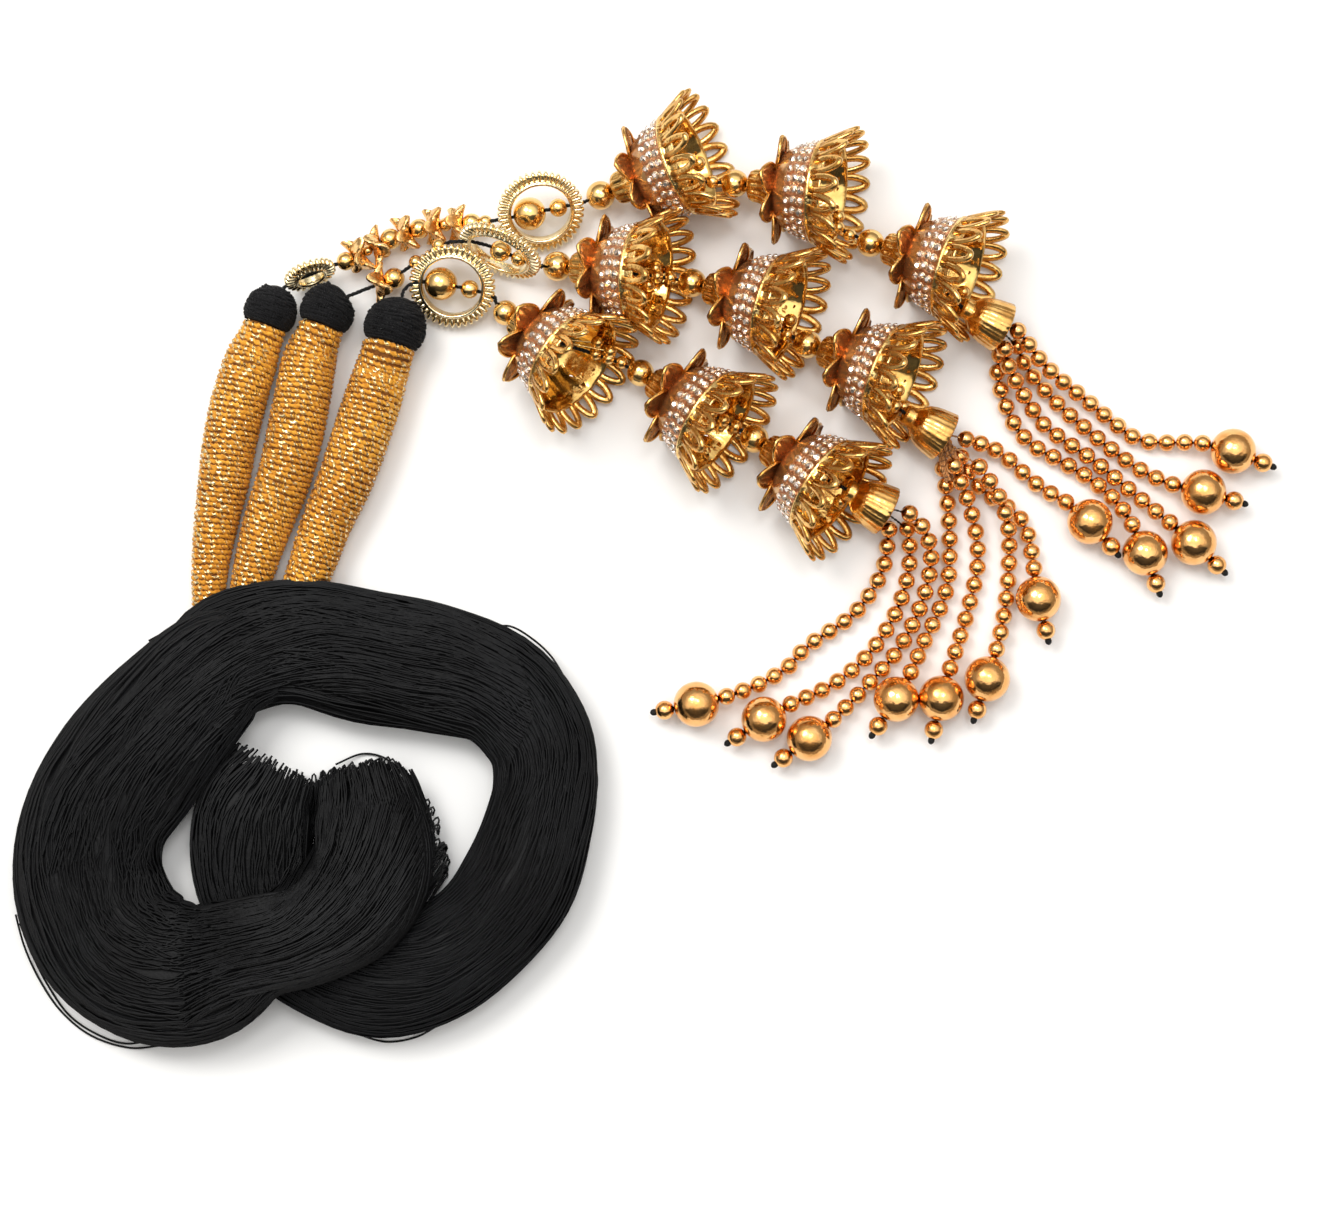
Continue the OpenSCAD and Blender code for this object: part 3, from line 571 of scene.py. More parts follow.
wound_jolt = noise(joined_xyz(wound_tree, wound_angle * 0.9, wound_in["Seed"]), 1.0)
wound_slip = (wound_jolt - 0.5) * wound_in["Looseness"]
wound_reach = wound_slip + (wound_at["Value"] - wound_in["Thread"])
wound_point = added(wound_at["Position"], scaled(wound_at["Normal"], wound_reach * wound_angle.maths("COSINE")),
                    scaled(wound_across, wound_reach * wound_angle.maths("SINE")), scaled(wound_at["Tangent"], wound_slip * 3.0))
wound_laid = wire(wound_tree, "GeometryNodeSetPosition", {
    "Geometry": fine_line(wound_tree, wound_in["Steps"]), "Position": wound_point})
wound_twist = wound_jolt * 2.5 + wound_spline["Length"] / wound_in["Lay"]
wound_turned = wire(wound_tree, "GeometryNodeSetCurveTilt", {"Curve": wound_laid, "Tilt": wound_twist * (2 * pi)})
wound_oval = wire(wound_tree, "GeometryNodeTransform", {
    "Geometry": circle(wound_tree, wound_in["Sides"], wound_in["Thread"]),
    "Scale": joined_xyz(wound_tree, 1.12, wound_in["Flatness"], 1.0)})
wound_real = wire(wound_tree, "GeometryNodeRealizeInstances", {"Geometry": tube(wound_turned, wound_oval)})
wound_plain = wire(wound_tree, "GeometryNodeSetMaterial", {"Geometry": wound_real, "Material": wound_in["Material"]})
# Two strips of the thread are foil
wound_strip = wire(wound_tree, "FunctionNodeCompare", {
    2: wire(wound_tree, "GeometryNodeInputIndex").maths("MODULO", wound_in["Sides"]), 3: 2}, data_type="INT", operation="LESS_THAN")
wire(wound_tree, "GeometryNodeSetMaterial", {
    "Geometry": wound_plain, "Selection": wound_strip, "Material": wound_in["Foil"]}).to(wound_out[0])


def wound(name, middle, radius, values):
    guide = shape(name + "_guide", middle, edges=[(i, i + 1) for i in range(len(middle) - 1)])
    store(guide, "radius_here", radius, "FLOAT")
    return grown(guide, wound_tree, values, name)


# Look of cast and plated metal: uneven tone, soft dents and worn patches
metal_look, look_in, look_out = new_group(
    "metal_look", {"Bright": (0.9, 0.6, 0.25, 1), "Deep": (0.5, 0.25, 0.08, 1), "Grain": 300.0, "Polish": 0.12, "Wear": 0.25,
                   "Dents": 0.2}, {"Color": "Color", "Roughness": "Float", "Normal": "Vector"})
look_place = wire(metal_look, "ShaderNodeTexCoord")["Object"]
look_share = eased(noise(look_place, 4.0, look_in["Grain"]), 0.3, 0.62, "LINEAR")
look_dent = noise(look_place, 2.0, look_in["Grain"] * 2.2)
mixed(look_share, look_in["Deep"], look_in["Bright"]).to(look_out["Color"])
(look_in["Wear"] * (1.0 - look_share) + look_in["Polish"]).to(look_out["Roughness"])
wire(metal_look, "ShaderNodeBump", {"Height": look_dent, "Strength": look_in["Dents"], "Distance": 0.0004}).to(look_out["Normal"])


def metal_paint(name, bright, deep, grain, polish, wear, dents, metallic=1.0, coat=0.0):
    return new_paint(name, {"Metallic": metallic, "Coat Weight": coat, "Coat Roughness": 0.05}, metal_look, {
        "Bright": (*bright, 1), "Deep": (*deep, 1), "Grain": grain, "Polish": polish, "Wear": wear, "Dents": dents})


thread_foil = metal_paint("thread_foil", (1.0, 0.86, 0.52), (0.85, 0.55, 0.20), 900.0, 0.18, 0.3, 0.6)
ochre_thread = thread_paint("ochre_thread", (0.50, 0.17, 0.012), (0.92, 0.46, 0.05), 1100.0, 0.5, 0.6, 0.15)
# The rod under the winding is painted a dark ochre, as painted shade in the gaps between the turns, not the black of
# its own threads
ochre_core = thread_paint("ochre_core", (0.10, 0.03, 0.004), (0.22, 0.08, 0.012), 900.0, 0.5, 0.8, 0.0)
winding, thread_sunk = 0.00122, 0.0007  # from one turn of the thread to the next, and from its outside to the core
for index, (rows, (kx, ky, kr, stem_aim, _)) in enumerate(zip(stems, knobs)):
    first = [(*(knob_middle(kx, ky, kr) - heading(stem_aim) * s), 0.85 * kr) for s in (0.5 * kr + 0.42, 0.5 * kr + 3.42)]
    line = smooth_rows(first + [(x, y, r + 0.1, r) for x, y, r in rows], 6).tolist()
    middle, radius = [in_part(p[:3]) for p in line], [p[3] * MM for p in line]
    # The rod draws in where it enters the knob
    radius[0] *= 0.86
    radius[1] *= 0.95
    turns = round(length_of(middle) / winding)
    # Core of the stem: dark ochre, painted shade that shows between the turns of the thread
    core = skin(f"stem_core_{index + 1}", round_rings(middle, [r - thread_sunk for r in radius], 24), ochre_core)
    binding = wound(f"stem_binding_{index + 1}", middle, radius, {
        "Turns": float(turns), "Steps": turns * 66, "Thread": 0.00066, "Flatness": 0.68, "Lay": 0.0022, "Sides": 6,
        "Looseness": 0.0005, "Seed": 3.0 + index, "Material": ochre_thread, "Foil": thread_foil})
    hand_in(binding, "ochre_thread", f"stem_{index + 1}")
    hand_in(core, "ochre_thread")

# Knobs: each stem's threads are gathered over a ball of black yarn and wound tight, with a short
# neck where the cord comes out.
knob_black = thread_paint("knob_black", (0.0038, 0.0038, 0.0042), (0.0125, 0.0125, 0.014), 1500.0, 0.5, 0.85, 0.05)
knob_outline = [  # distance from the middle and radius, both as shares of the knob's radius
    (-0.52, 0.62), (-0.5, 0.84), (-0.34, 0.95), (-0.12, 1.0), (0.12, 0.99), (0.36, 0.93), (0.58, 0.8), (0.78, 0.6), (0.92, 0.38),
    (0.98, 0.2)]
for index, (kx, ky, kr, stem_aim, cord_aim) in enumerate(knobs):
    # The yarn is drawn up towards the cord
    pull = 0.3 * (heading(cord_aim) - heading(stem_aim))
    line = smooth_rows(knob_outline, 4).tolist()
    middle = [in_part(knob_middle(kx, ky, kr) + kr * (heading(stem_aim) * s + pull * max(s, 0.0) ** 2)) for s, _ in line]
    radius = [r * kr * MM for _, r in line]
    core = skin(f"knob_core_{index + 1}", round_rings(middle, [r - 0.0004 for r in radius], 40), knob_black)
    yarn = wound(f"knob_yarn_{index + 1}", middle[:-6], radius[:-6], {
        "Turns": 20.0, "Steps": 1300, "Thread": 0.00040, "Flatness": 0.8, "Lay": 0.0016, "Looseness": 0.0006, "Sides": 6,
        "Seed": 8.0 + index, "Material": knob_black, "Foil": knob_black})
    hand_in(core, "black_yarn", f"knob_{index + 1}")
    hand_in(yarn, "black_yarn")

# Bells: nine cast bells threaded on the three cords through holes in their crowns. Each is one
# gilt casting: a fluted crown, seven lacquered leaves, a dome set with three rows of foil-backed
# stones, a tooled skirt inside and out, and eighteen open wire loops round the mouth.
bell_len, mouth_r = 25.5, 16.0
shoulder_at, shoulder_r = 9.3, 10.6  # a bell lies on the loops of its mouth, or on the shoulder under its leaves
bells = {  # x and y of the mouth's middle, heading, tip of the mouth, roll, front bead's radius
    "bell_1_1": (16.4, 95.5, 18, 19, 0, 3.4), "bell_1_2": (49.4, 85.3, -8.6, 15.7, 12, 3.3),
    "bell_1_3": (79.8, 66.1, -19.8, 17, 6, 3.3), "bell_2_1": (7.2, 66.2, -8.4, 20, 0, 3.5),
    "bell_2_2": (38, 57.4, -18.4, 18, 10, 3.4), "bell_2_3": (64.3, 40.6, -23.3, 17.4, 4, 3.4),
    "bell_3_1": (-11.5, 42.8, -38.5, 23, 8, 3), "bell_3_2": (22.3, 29.1, -34.7, 17.4, 2, 3.2),
    "bell_3_3": (48.7, 13.1, -36, 18.2, 10, 3.4)}


def bell_axis(x, y, turn, tip):
    """The top of a bell's crown and the way to its mouth, in millimetres."""
    t = radians(tip)
    height = 0.05 + max(mouth_r * cos(t), (bell_len - shoulder_at) * sin(t) + shoulder_r * cos(t))
    return Vector((x, y, height)) - heading(turn, tip) * bell_len, heading(turn, tip)


def seated(start):
    """Matrix from a piece's own millimetres to its place in metres."""
    return Matrix.Translation(PLACE) @ Matrix.Scale(MM, 4) @ Matrix.Translation(start)


def aimed(start, way, roll=0.0):
    """The same for a piece whose axis is turned from +Z to the given way."""
    return (seated(start) @ Matrix.Rotation(atan2(way.y, way.x), 4, "Z") @ Matrix.Rotation(acos(way.z), 4, "Y")
            @ Matrix.Rotation(radians(roll), 4, "Z"))


bell_gold = metal_paint("bell_gold", (0.86, 0.53, 0.18), (0.56, 0.27, 0.06), 260.0, 0.1, 0.25, 0.5)
band_gold = metal_paint("band_gold", (0.95, 0.68, 0.28), (0.72, 0.40, 0.11), 320.0, 0.12, 0.25, 0.7)
inner_gold = metal_paint("inner_gold", (0.88, 0.58, 0.20), (0.56, 0.30, 0.07), 180.0, 0.06, 0.15, 0.35)
leaf_lacquer = metal_paint("leaf_lacquer", (0.72, 0.42, 0.18), (0.36, 0.15, 0.05), 160.0, 0.14, 0.2, 0.6, 0.9, 0.4)
dome_lacquer = metal_paint("dome_lacquer", (0.72, 0.34, 0.16), (0.36, 0.11, 0.035), 650.0, 0.2, 0.3, 0.9, 0.9, 0.3)
setting_gold = metal_paint("setting_gold", (0.92, 0.74, 0.52), (0.50, 0.30, 0.16), 900.0, 0.14, 0.25, 0.4)
stone_foil = metal_paint("stone_foil", (0.99, 0.95, 0.90), (0.66, 0.47, 0.36), 900.0, 0.03, 0.06, 0.1, 0.92, 1.0)
bell_paints = [bell_gold, band_gold, inner_gold, leaf_lacquer, dome_lacquer, setting_gold, stone_foil]
GOLD, BAND, INNER, LEAF, DOME = range(5)

# Outline of the casting, from the crown to the rim and back inside: radius and distance, by finish
bell_outline = [(r, s, kind) for kind, places in {
    GOLD: [(1.2, 0.4), (2.6, 0.0), (3.3, 0.4), (3.6, 1.3), (3.7, 2.6), (4.1, 3.8), (4.9, 5.0), (5.8, 6.2)],
    LEAF: [(6.1, 6.9), (7.0, 7.5), (8.3, 8.3), (9.1, 9.3), (9.6, 10.3)],
    DOME: [(10.0, 11.2), (10.5, 12.6), (11.0, 14.2), (11.5, 16.3)],
    BAND: [(11.9, 16.6), (12.3, 16.8), (12.4, 17.2), (12.2, 17.5), (12.0, 17.8), (12.2, 18.4), (12.6, 19.3), (13.0, 19.9),
           (13.2, 20.2), (13.0, 20.5)],
    INNER: [(12.6, 20.4), (12.2, 19.6), (11.7, 18.1), (11.1, 16.4), (10.6, 14.8), (10.0, 13.2), (9.3, 11.5), (8.2, 10.2),
            (6.2, 9.1), (3.8, 8.3), (1.2, 8.1)]}.items() for r, s in places]


def turned(outline, sides, ripple=lambda a, *place: 0.0):
    """Points of a turned shape, ring by ring; the ripple is the share by which a point stands out."""
    return [(r * (1 + ripple(a, r, s, *kind)) * cos(a), r * (1 + ripple(a, r, s, *kind)) * sin(a), s)
            for r, s, *kind in outline for a in round_turns(sides)]


def bell_ripple(a, r, s, kind):
    """Flutes of the crown, and shallow waves of the dome and of the inside."""
    if r <= 2:
        return 0
    return {GOLD: 0.075 * cos(14 * a) * min(1, s / 1.2) * min(1, max(0, 6.2 - s) / 1.5),
            DOME: 0.012 * cos(28 * a), INNER: 0.010 * sin(14 * a)}.get(kind, 0)


def bell_casting():
    sides = 84
    made = shape("casting", turned(bell_outline, sides, bell_ripple), lattice(len(bell_outline), sides, True),
                 paints=bell_paints, smooth=True)
    made.data.polygons.foreach_set("material_index", [kind for _, _, kind in bell_outline for _ in range(sides)])
    return made


def leaf_half(u):
    """Half the width of a leaf, from its root to its tip."""
    return 3.5 * sin(pi * min(0.26 + 0.74 * u, 1.0) ** 1.25) ** 0.6 if u < 0.999 else 0.1


def leaf_point(u, v):
    """A point of the leaf, seen from its root: outwards, sideways, towards the mouth."""
    y = leaf_half(u) * v
    cupped, waves = 0.05 * y * y * (0.2 + u), 0.45 * cos(3.5 * pi * v) * u
    return Vector((7.8 * u - 0.05 * y * y, y, 0.3 * u - 0.35 * u ** 2 + cupped + waves))


def leaf_shape():
    """One cupped, wavy leaf of the collar, lacquered on both sides."""
    along, across = 12, 11
    grid = along * across
    points = [leaf_point(i / (along - 1), 2 * k / (across - 1) - 1) - Vector((0, 0, 0.4 * side))
              for side in (0, 1) for i in range(along) for k in range(across)]
    faces = []
    for i in range(along - 1):
        for k in range(across - 1):
            a = i * across + k
            faces += [(a, a + across, a + across + 1, a + 1), (grid + a, grid + a + 1, grid + a + across + 1, grid + a + across)]
    return shape("leaf", points, faces)


def leaf_edge():
    """The thick gilt edge of a leaf."""
    turns = [i / 11 for i in range(12)]
    path = [leaf_point(u, -1) for u in turns] + [leaf_point(u, 1) for u in turns[-2::-1]]
    return bar("leaf_edge", [q - Vector((0, 0, 0.2)) for q in path], 0.4, 0.42, (0, 0, 1), 6)


def bar(name, path, half_wide, half_deep, deep_way, sides=8, closed=False):
    """Bar of oval section along a path that lies square to deep_way."""
    path = [Vector(p) for p in path]
    deep_way = Vector(deep_way).normalized()
    points, n = [], len(path)
    for i, p in enumerate(path):
        way = (path[(i + 1) % n] - path[i - 1]).normalized() if closed else way_at(path, i)
        wide_way = way.cross(deep_way).normalized()
        points += [p + half_wide * cos(a) * wide_way + half_deep * sin(a) * deep_way for a in round_turns(sides)]
    return shape(name, points, lattice(n, sides, closed))


def loop_shape():
    """One open loop of the rim, pointed like a petal, flaring from r 13 to r 16."""
    half = [(1.4, -2.6), (1.66, -0.6), (1.6, 1.2), (1.42, 2.3), (1.15, 3.3), (0.8, 4.1), (0.4, 4.6), (0, 4.76)]
    root, out, deep = Vector((13.25, 0, 20.3)), Vector((2.3, 0, 4.5)).normalized(), (4.5, 0, -2.3)
    line = [(-y, v) for y, v in half] + half[::-1][1:]
    return bar("loop", [root + out * v + Vector((0, y, 0)) for y, v in line], 0.92, 0.62, deep, 7)


def stone_shape():
    """One cut stone with a flat top, x outwards."""
    points = [(x, r * cos(2 * pi * (k + turn) / 8), r * sin(2 * pi * (k + turn) / 8))
              for r, x, turn in ((0.8, -0.25, 0.0), (0.85, 0.12, 0.0), (0.46, 0.58, 0.5)) for k in range(8)]
    return shape("stone", points, lattice(3, 8))


def setting_shape():
    """The small collar that holds a stone, x outwards."""
    path = [(0.0, 0.98 * cos(a), 0.98 * sin(a)) for a in round_turns(8)]
    return bar("setting", path, 0.2, 0.3, (1, 0, 0), 4, closed=True)


# Geometry tree: a shape set several times round the Z axis, leaning outwards, with small changes
ring_tree, ring_in, ring_out = new_group("set_round", {
    "Count": 6, "Radius": 0.0, "Height": 0.0, "Lean": 0.0, "Start": 0.0, "Uneven": 0.0, "Seed": 1})
ring_rank = wire(ring_tree, "GeometryNodeInputIndex")
ring_turn = ring_in["Start"] + ring_rank * (2 * pi) / ring_in["Count"]
ring_points = wire(ring_tree, "GeometryNodePoints", {"Count": ring_in["Count"], "Position": joined_xyz(
    ring_tree, ring_in["Radius"] * ring_turn.maths("COSINE"), ring_in["Radius"] * ring_turn.maths("SINE"), ring_in["Height"])})
ring_lean, ring_swing = [ring_in["Uneven"] * (chance(ring_rank, ring_in["Seed"] + step) - 0.5) for step in (0.0, 5.0)]
ring_euler = wire(ring_tree, "FunctionNodeEulerToRotation", {
    0: joined_xyz(ring_tree, 0.0, ring_in["Lean"] + ring_lean, ring_turn + ring_swing)})
finish_tree(wire(ring_tree, "GeometryNodeInstanceOnPoints", {
    "Points": ring_points, "Instance": ring_in["Geometry"], "Rotation": ring_euler}), ring_in["Material"], ring_out)


def set_round(thing, paint, values, smooth=True):
    return grown(thing, ring_tree, dict(values, Material=paint), thing.name + "s", smooth)


def gathered(name, pieces, paints):
    """One object from several, which keep their finishes; faces are turned outwards."""
    whole = bmesh.new()
    for piece in pieces:
        part = bmesh.new()
        part.from_mesh(piece.data)
        bmesh.ops.recalc_face_normals(part, faces=part.faces)
        for face in part.faces:
            face.material_index = paints.index(piece.data.materials[face.material_index])
        part.to_mesh(piece.data)
        part.free()
        whole.from_mesh(piece.data)
        bpy.data.objects.remove(piece)
    made = shape(name, [])
    whole.to_mesh(made.data)
    whole.free()
    for paint in paints:
        made.data.materials.append(paint)
    return made


leaf_set = {"Count": 7, "Radius": 5.3, "Height": 7.2, "Start": 0.52, "Uneven": 0.42, "Seed": 12}
stone_rows = [  # radius, distance, lean, start, count
    (10.0, 11.8, 0.36, 0.0, 24), (10.65, 13.55, 0.33, 0.165, 26), (11.2, 15.3, 0.3, 0.05, 27)]
crown_turn, table_gap = 30, 0.00002  # turn of the pattern before it is rolled, and lowest height of the cast metal
bell_pattern = gathered("bell_pattern", [
    bell_casting(),
    set_round(leaf_shape(), leaf_lacquer, leaf_set),
    set_round(leaf_edge(), bell_gold, leaf_set),
    set_round(loop_shape(), bell_gold, {"Count": 18})]
    + [set_round(setting_shape(), setting_gold, {"Count": count, "Radius": r - 0.05, "Height": s, "Lean": lean, "Start": start})
       for r, s, lean, start, count in stone_rows]
    + [set_round(stone_shape(), stone_foil, {"Count": count, "Radius": r + 0.05, "Height": s, "Lean": lean, "Start": start,
                                             "Uneven": 0.9, "Seed": index}, False)
       for index, (r, s, lean, start, count) in enumerate(stone_rows)], bell_paints)
for name, (x, y, turn, tip, roll, _) in bells.items():
    mesh = bell_pattern.data.copy()
    mesh.name = name + "_cast"
    mesh.transform(aimed(*bell_axis(x, y, turn, tip), roll + crown_turn))
    for vertex in mesh.vertices:
        vertex.co.z = max(vertex.co.z, table_gap)
    hand_in(placed(name + "_cast", mesh), "gold", name)
bpy.data.objects.remove(bell_pattern)

# Beads: hollow brass balls with a hole through them, plated copper-gold on the tassels and gold on
# the cords. Each is threaded; the last small one of a tassel string holds the thread's knot.
bead_copper = metal_paint("bead_copper", (0.93, 0.52, 0.20), (0.78, 0.36, 0.10), 260.0, 0.09, 0.18, 0.3)
bead_gold = metal_paint("bead_gold", (0.94, 0.64, 0.26), (0.78, 0.44, 0.13), 220.0, 0.08, 0.18, 0.3)


def loose_solids(node):
    """Middle, reach from it and thinnest direction of each loose solid of a CAD node, in its order."""
    work = bmesh.new()
    work.from_mesh(node.data)
    bmesh.ops.remove_doubles(work, verts=work.verts, dist=1e-6)
    found, seen = [], set()
    for first in work.verts:
        if first in seen:
            continue
        group, front = [], [first]
        seen.add(first)
        while front:
            vertex = front.pop()
            group.append(vertex.co.copy())
            for edge in vertex.link_edges:
                other = edge.other_vert(vertex)
                if other not in seen:
                    seen.add(other)
                    front.append(other)
        cloud = np.array(group)
        middle = (cloud.min(axis=0) + cloud.max(axis=0)) / 2
        thin = np.linalg.svd(cloud - cloud.mean(axis=0), full_matrices=False)[2][2]
        found.append((Vector(middle), float(np.linalg.norm(cloud - middle, axis=1).max()), Vector(thin)))
    work.free()
    return found


def bead_shape(sides, rows, hole):
    """Ball of radius 1 with its hole along Z, drawn in a little at the rim of the hole."""
    start = asin(hole)
    arc = [start + (pi - 2 * start) * i / (rows - 1) for i in range(rows)]
    outline = [(hole, -0.7)] + [(sin(a), -cos(a)) for a in arc] + [(hole, 0.7)]
    return shape("bead", turned(outline, sides), lattice(len(outline), sides, True))


# Geometry tree: a thing set at every point, turned along the point's way and scaled to its size
strung_tree, strung_in, strung_out = new_group("strung", {"Thing": "Object"})
strung_turn = wire(strung_tree, "FunctionNodeAlignRotationToVector", {"Vector": stored(strung_tree, "way")}, axis="Z")
finish_tree(wire(strung_tree, "GeometryNodeInstanceOnPoints", {
    "Points": wire(strung_tree, "GeometryNodeMeshToPoints", {"Mesh": strung_in["Geometry"]}),
    "Instance": wire(strung_tree, "GeometryNodeObjectInfo", {"Object": strung_in["Thing"]})["Geometry"],
    "Rotation": strung_turn, "Scale": stored(strung_tree, "size", "FLOAT")}), strung_in["Material"], strung_out)


def strung(name, thing, places, paint, smooth=True):
    """The thing at each place: middle, size and way."""
    carrier = shape(name + "_places", [p for p, _, _ in places])
    store(carrier, "size", [s for _, s, _ in places], "FLOAT")
    store(carrier, "way", [w for _, _, w in places])
    return grown(carrier, strung_tree, {"Thing": thing, "Material": paint}, name, smooth)


small_bead, large_bead = bead_shape(16, 9, 0.22), bead_shape(32, 17, 0.14)
large_from, plating = 0.004, 1.03  # radius from which a tassel bead is a large one, and its growth over the solid below
tassel_strings = {}
for name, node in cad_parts.items():
    if name.startswith("beads_"):
        balls = loose_solids(node)
        middles = [p for p, _, _ in balls]
        places = [(p, plating * r, way_at(middles, i)) for i, (p, r, _) in enumerate(balls)]
        tassel_strings[name] = places
        small = strung(name + "_small", small_bead, [q for q in places if q[1] < large_from], bead_copper)
        large = strung(name + "_large", large_bead, [q for q in places if q[1] >= large_from], bead_copper)
        hand_in(gathered(name + "_string", [small, large], [bead_copper]), "copper_gold", name)

# Rings: three large rings of cast brass and a small one, each with a smooth inner rim and forty
# ribs that stand out from it like rays, on both faces; a cord runs across them with beads inside.
ring_gold = metal_paint("ring_gold", (0.99, 0.87, 0.58), (0.90, 0.70, 0.38), 350.0, 0.1, 0.2, 0.35)
rings = {  # x, y, z of the middle, heading of the cord, roll about it, diameter
    "ring_1": (-23.9, 83, 7, 12, 36, 20.6), "ring_2": (-33.3, 73.1, 10.6, -23, 70, 20.6),
    "ring_3": (-44.7, 65.4, 6.8, -11, 28, 20.6), "small_ring_1": (-78.2, 68.1, 6.5, 22, 75, 12.6)}


def ribbed_ring(name, outer, ribs):
    """Ring round the Z axis; g is 0 on a rib and 1 in the groove beside it."""
    inner, count, points = outer - 3.3, ribs * 8, []
    for a in round_turns(count):
        g = (0.5 - 0.5 * cos(ribs * a)) ** 2.2
        half = [(inner, 0.9), (inner + 0.12, 1.25), (inner + 0.45, 1.4), (inner + 0.8, 1.25), (inner + 0.95, 0.85 - 0.4 * g),
                (inner + 1.15, 1.05 - 0.85 * g), (outer - 0.7 - 0.5 * g, 1.05 - 0.85 * g),
                (outer - 0.15 - 0.9 * g, 0.85 - 0.66 * g)]
        loop = half + [(outer - 0.95 * g, 0.0)] + [(r, -z) for r, z in half[::-1]]
        points += [(r * cos(a), r * sin(a), z) for r, z in loop]
    return shape(name, points, lattice(count, len(loop), True))


for name, (x, y, z, turn, roll, across) in rings.items():
    made = ribbed_ring(name + "_cast", across / 2, round(40 * across / 20.6))
    cast = gathered(name + "_ribbed", [grown(made, ring_tree, {"Count": 1, "Material": ring_gold}, name + "_one")], [ring_gold])
    cast.data.transform(seated((x, y, z)) @ Matrix.Rotation(radians(turn), 4, "Z")
                        @ Matrix.Rotation(radians(roll), 4, "X"))
    hand_in(cast, "pale_gold", name)

# Cords: three twisted black cords, one from each knob, run through flowers, beads, rings and bells
# to a knot in each end cap.
cord_black = thread_paint("cord_black", (0.006, 0.006, 0.006), (0.02, 0.02, 0.02), 1500.0, 0.5, 0.8, 0.05)
end_caps = [  # x, y, z of the mouth, heading, slope down
    (84.5, 55.3, 8, -25, 14), (70.9, 29.6, 6.8, -30, 11), (57.2, 12.2, 7, -28, 12)]
cap_len = 11.5


def on_cap(index, s):
    """Point on an end cap's axis, s millimetres from its tip towards its mouth."""
    x, y, z, turn, slope = end_caps[index]
    return in_part(Vector((x, y, z)) - heading(turn, -slope) * (cap_len - s))


def rounded(route, gap):
    """The route's points with its corners rounded off, a step apart."""
    route = [Vector(p) for p in route]
    for _ in range(2):
        route = [route[0]] + [q for a, b in zip(route, route[1:]) for q in (a.lerp(b, 0.22), a.lerp(b, 0.78))] + [route[-1]]
    out = [route[0]]
    for a, b in zip(route, route[1:]):
        steps = max(1, round((b - a).length / gap))
        out += [a.lerp(b, (k + 1) / steps) for k in range(steps)]
    return out


def twisted(name, route, radius, plies, lay, sides, paint):
    """A cord of two or more plies laid round each other along the route."""
    turns = length_of(route) / lay
    strands = [wound(f"{name}_ply_{k + 1}", route, [radius] * len(route), {
        "Turns": turns, "Steps": int(turns * 7) + 2, "Thread": radius * (0.54 if plies == 2 else 0.5), "Flatness": 1.0,
        "Lay": 1.0, "Looseness": 0.0, "Start": start, "Sides": sides, "Material": paint, "Foil": paint})
        for k, start in enumerate(round_turns(plies))]
    return gathered(name, strands, [paint])


cord_items = {}
# Small beads before each strand's large ring: share of the way to it from the last piece, and radius
ring_beads = [[(0.6, 1.6)], [(0.35, 1.7), (0.72, 1.7)], []]
for index, (kx, ky, kr, stem_aim, _) in enumerate(knobs):
    strand = index + 1
    flowers = loose_solids(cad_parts[f"flowers_{strand}"]) if strand < 3 else []
    beads = loose_solids(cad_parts[f"spacers_{strand}"])
    *ring_mid, turn, _, across = rings[f"ring_{strand}"]
    ring_mid, along = in_part(ring_mid), heading(turn) * MM
    route = [in_part(knob_middle(kx, ky, kr) + heading(stem_aim) * 0.3 * kr)]
    if strand == 1:
        *small_mid, small_turn, _, small_across = rings["small_ring_1"]
        route += [in_part(Vector(small_mid) + heading(small_turn) * s) for s in (-small_across / 2 - 0.3, small_across / 2 + 0.3)]
    upper = [q for q in flowers + beads if q[0].x < (ring_mid - along * across / 2).x]
    route += [q[0] for q in sorted(upper, key=lambda q: q[0].x)]
    last, edge = route[-1], ring_mid - along * (across / 2 + 0.8)
    beads += [(last.lerp(edge, share), r * MM, along) for share, r in ring_beads[index]]
    route += [edge, ring_mid + along * (across / 2 + 0.3)]
    for x, y, turn, tip, _, front in list(bells.values())[3 * index:3 * index + 3]:
        crown, way = bell_axis(x, y, turn, tip)
        route += [in_part(crown + way * s) for s in (-2 * front - 1, 7.0)]
    route += [on_cap(index, -1.0), on_cap(index, 5.2)]
    cord_items[strand] = (route, flowers, beads)
    cord = twisted(f"cord_{strand}_twisted", rounded(route, 0.002), 0.0005, 3, 0.0032, 4, cord_black)
    hand_in(cord, "black_cord", f"cord_{strand}")

# Clappers: two small gilt balls on short wires inside each bell, lying against its lower wall,
# and three more on the cord in the mouth.
clapper_r, wire_bend, hook_at = 0.0016, 0.0006, (8.8, 2.0)
wall_r, wall_at, wall_near, wall_flare = 9.7, 14.8, 8.9, 0.35  # how far from the axis the balls lie, wider near the mouth
clapper_spots = {  # as seen from above: how far before the mouth, and how far to the left of the axis
    "bell_1_1": [(-4.5, -3.2), (-3.2, 0.6)], "bell_1_2": [(-3.6, -6.6), (-2.8, -3.2)], "bell_1_3": [(-2.8, -6.4), (-3.4, -2.8)],
    "bell_2_1": [(-4.7, 3.1), (-5.6, -1.0)], "bell_2_2": [(-3.2, -0.6), (-2.6, -4.2)], "bell_2_3": [(-4.0, -1.1), (-1.6, -3.8)],
    "bell_3_1": [(-4.9, 7.6), (-1.6, 7.0)], "bell_3_2": [(-7.6, 3.6), (-5.4, 0.8)], "bell_3_3": [(-3.6, 3.8), (-3.0, 0.2)]}
clapper_wires, clapper_balls = [], []
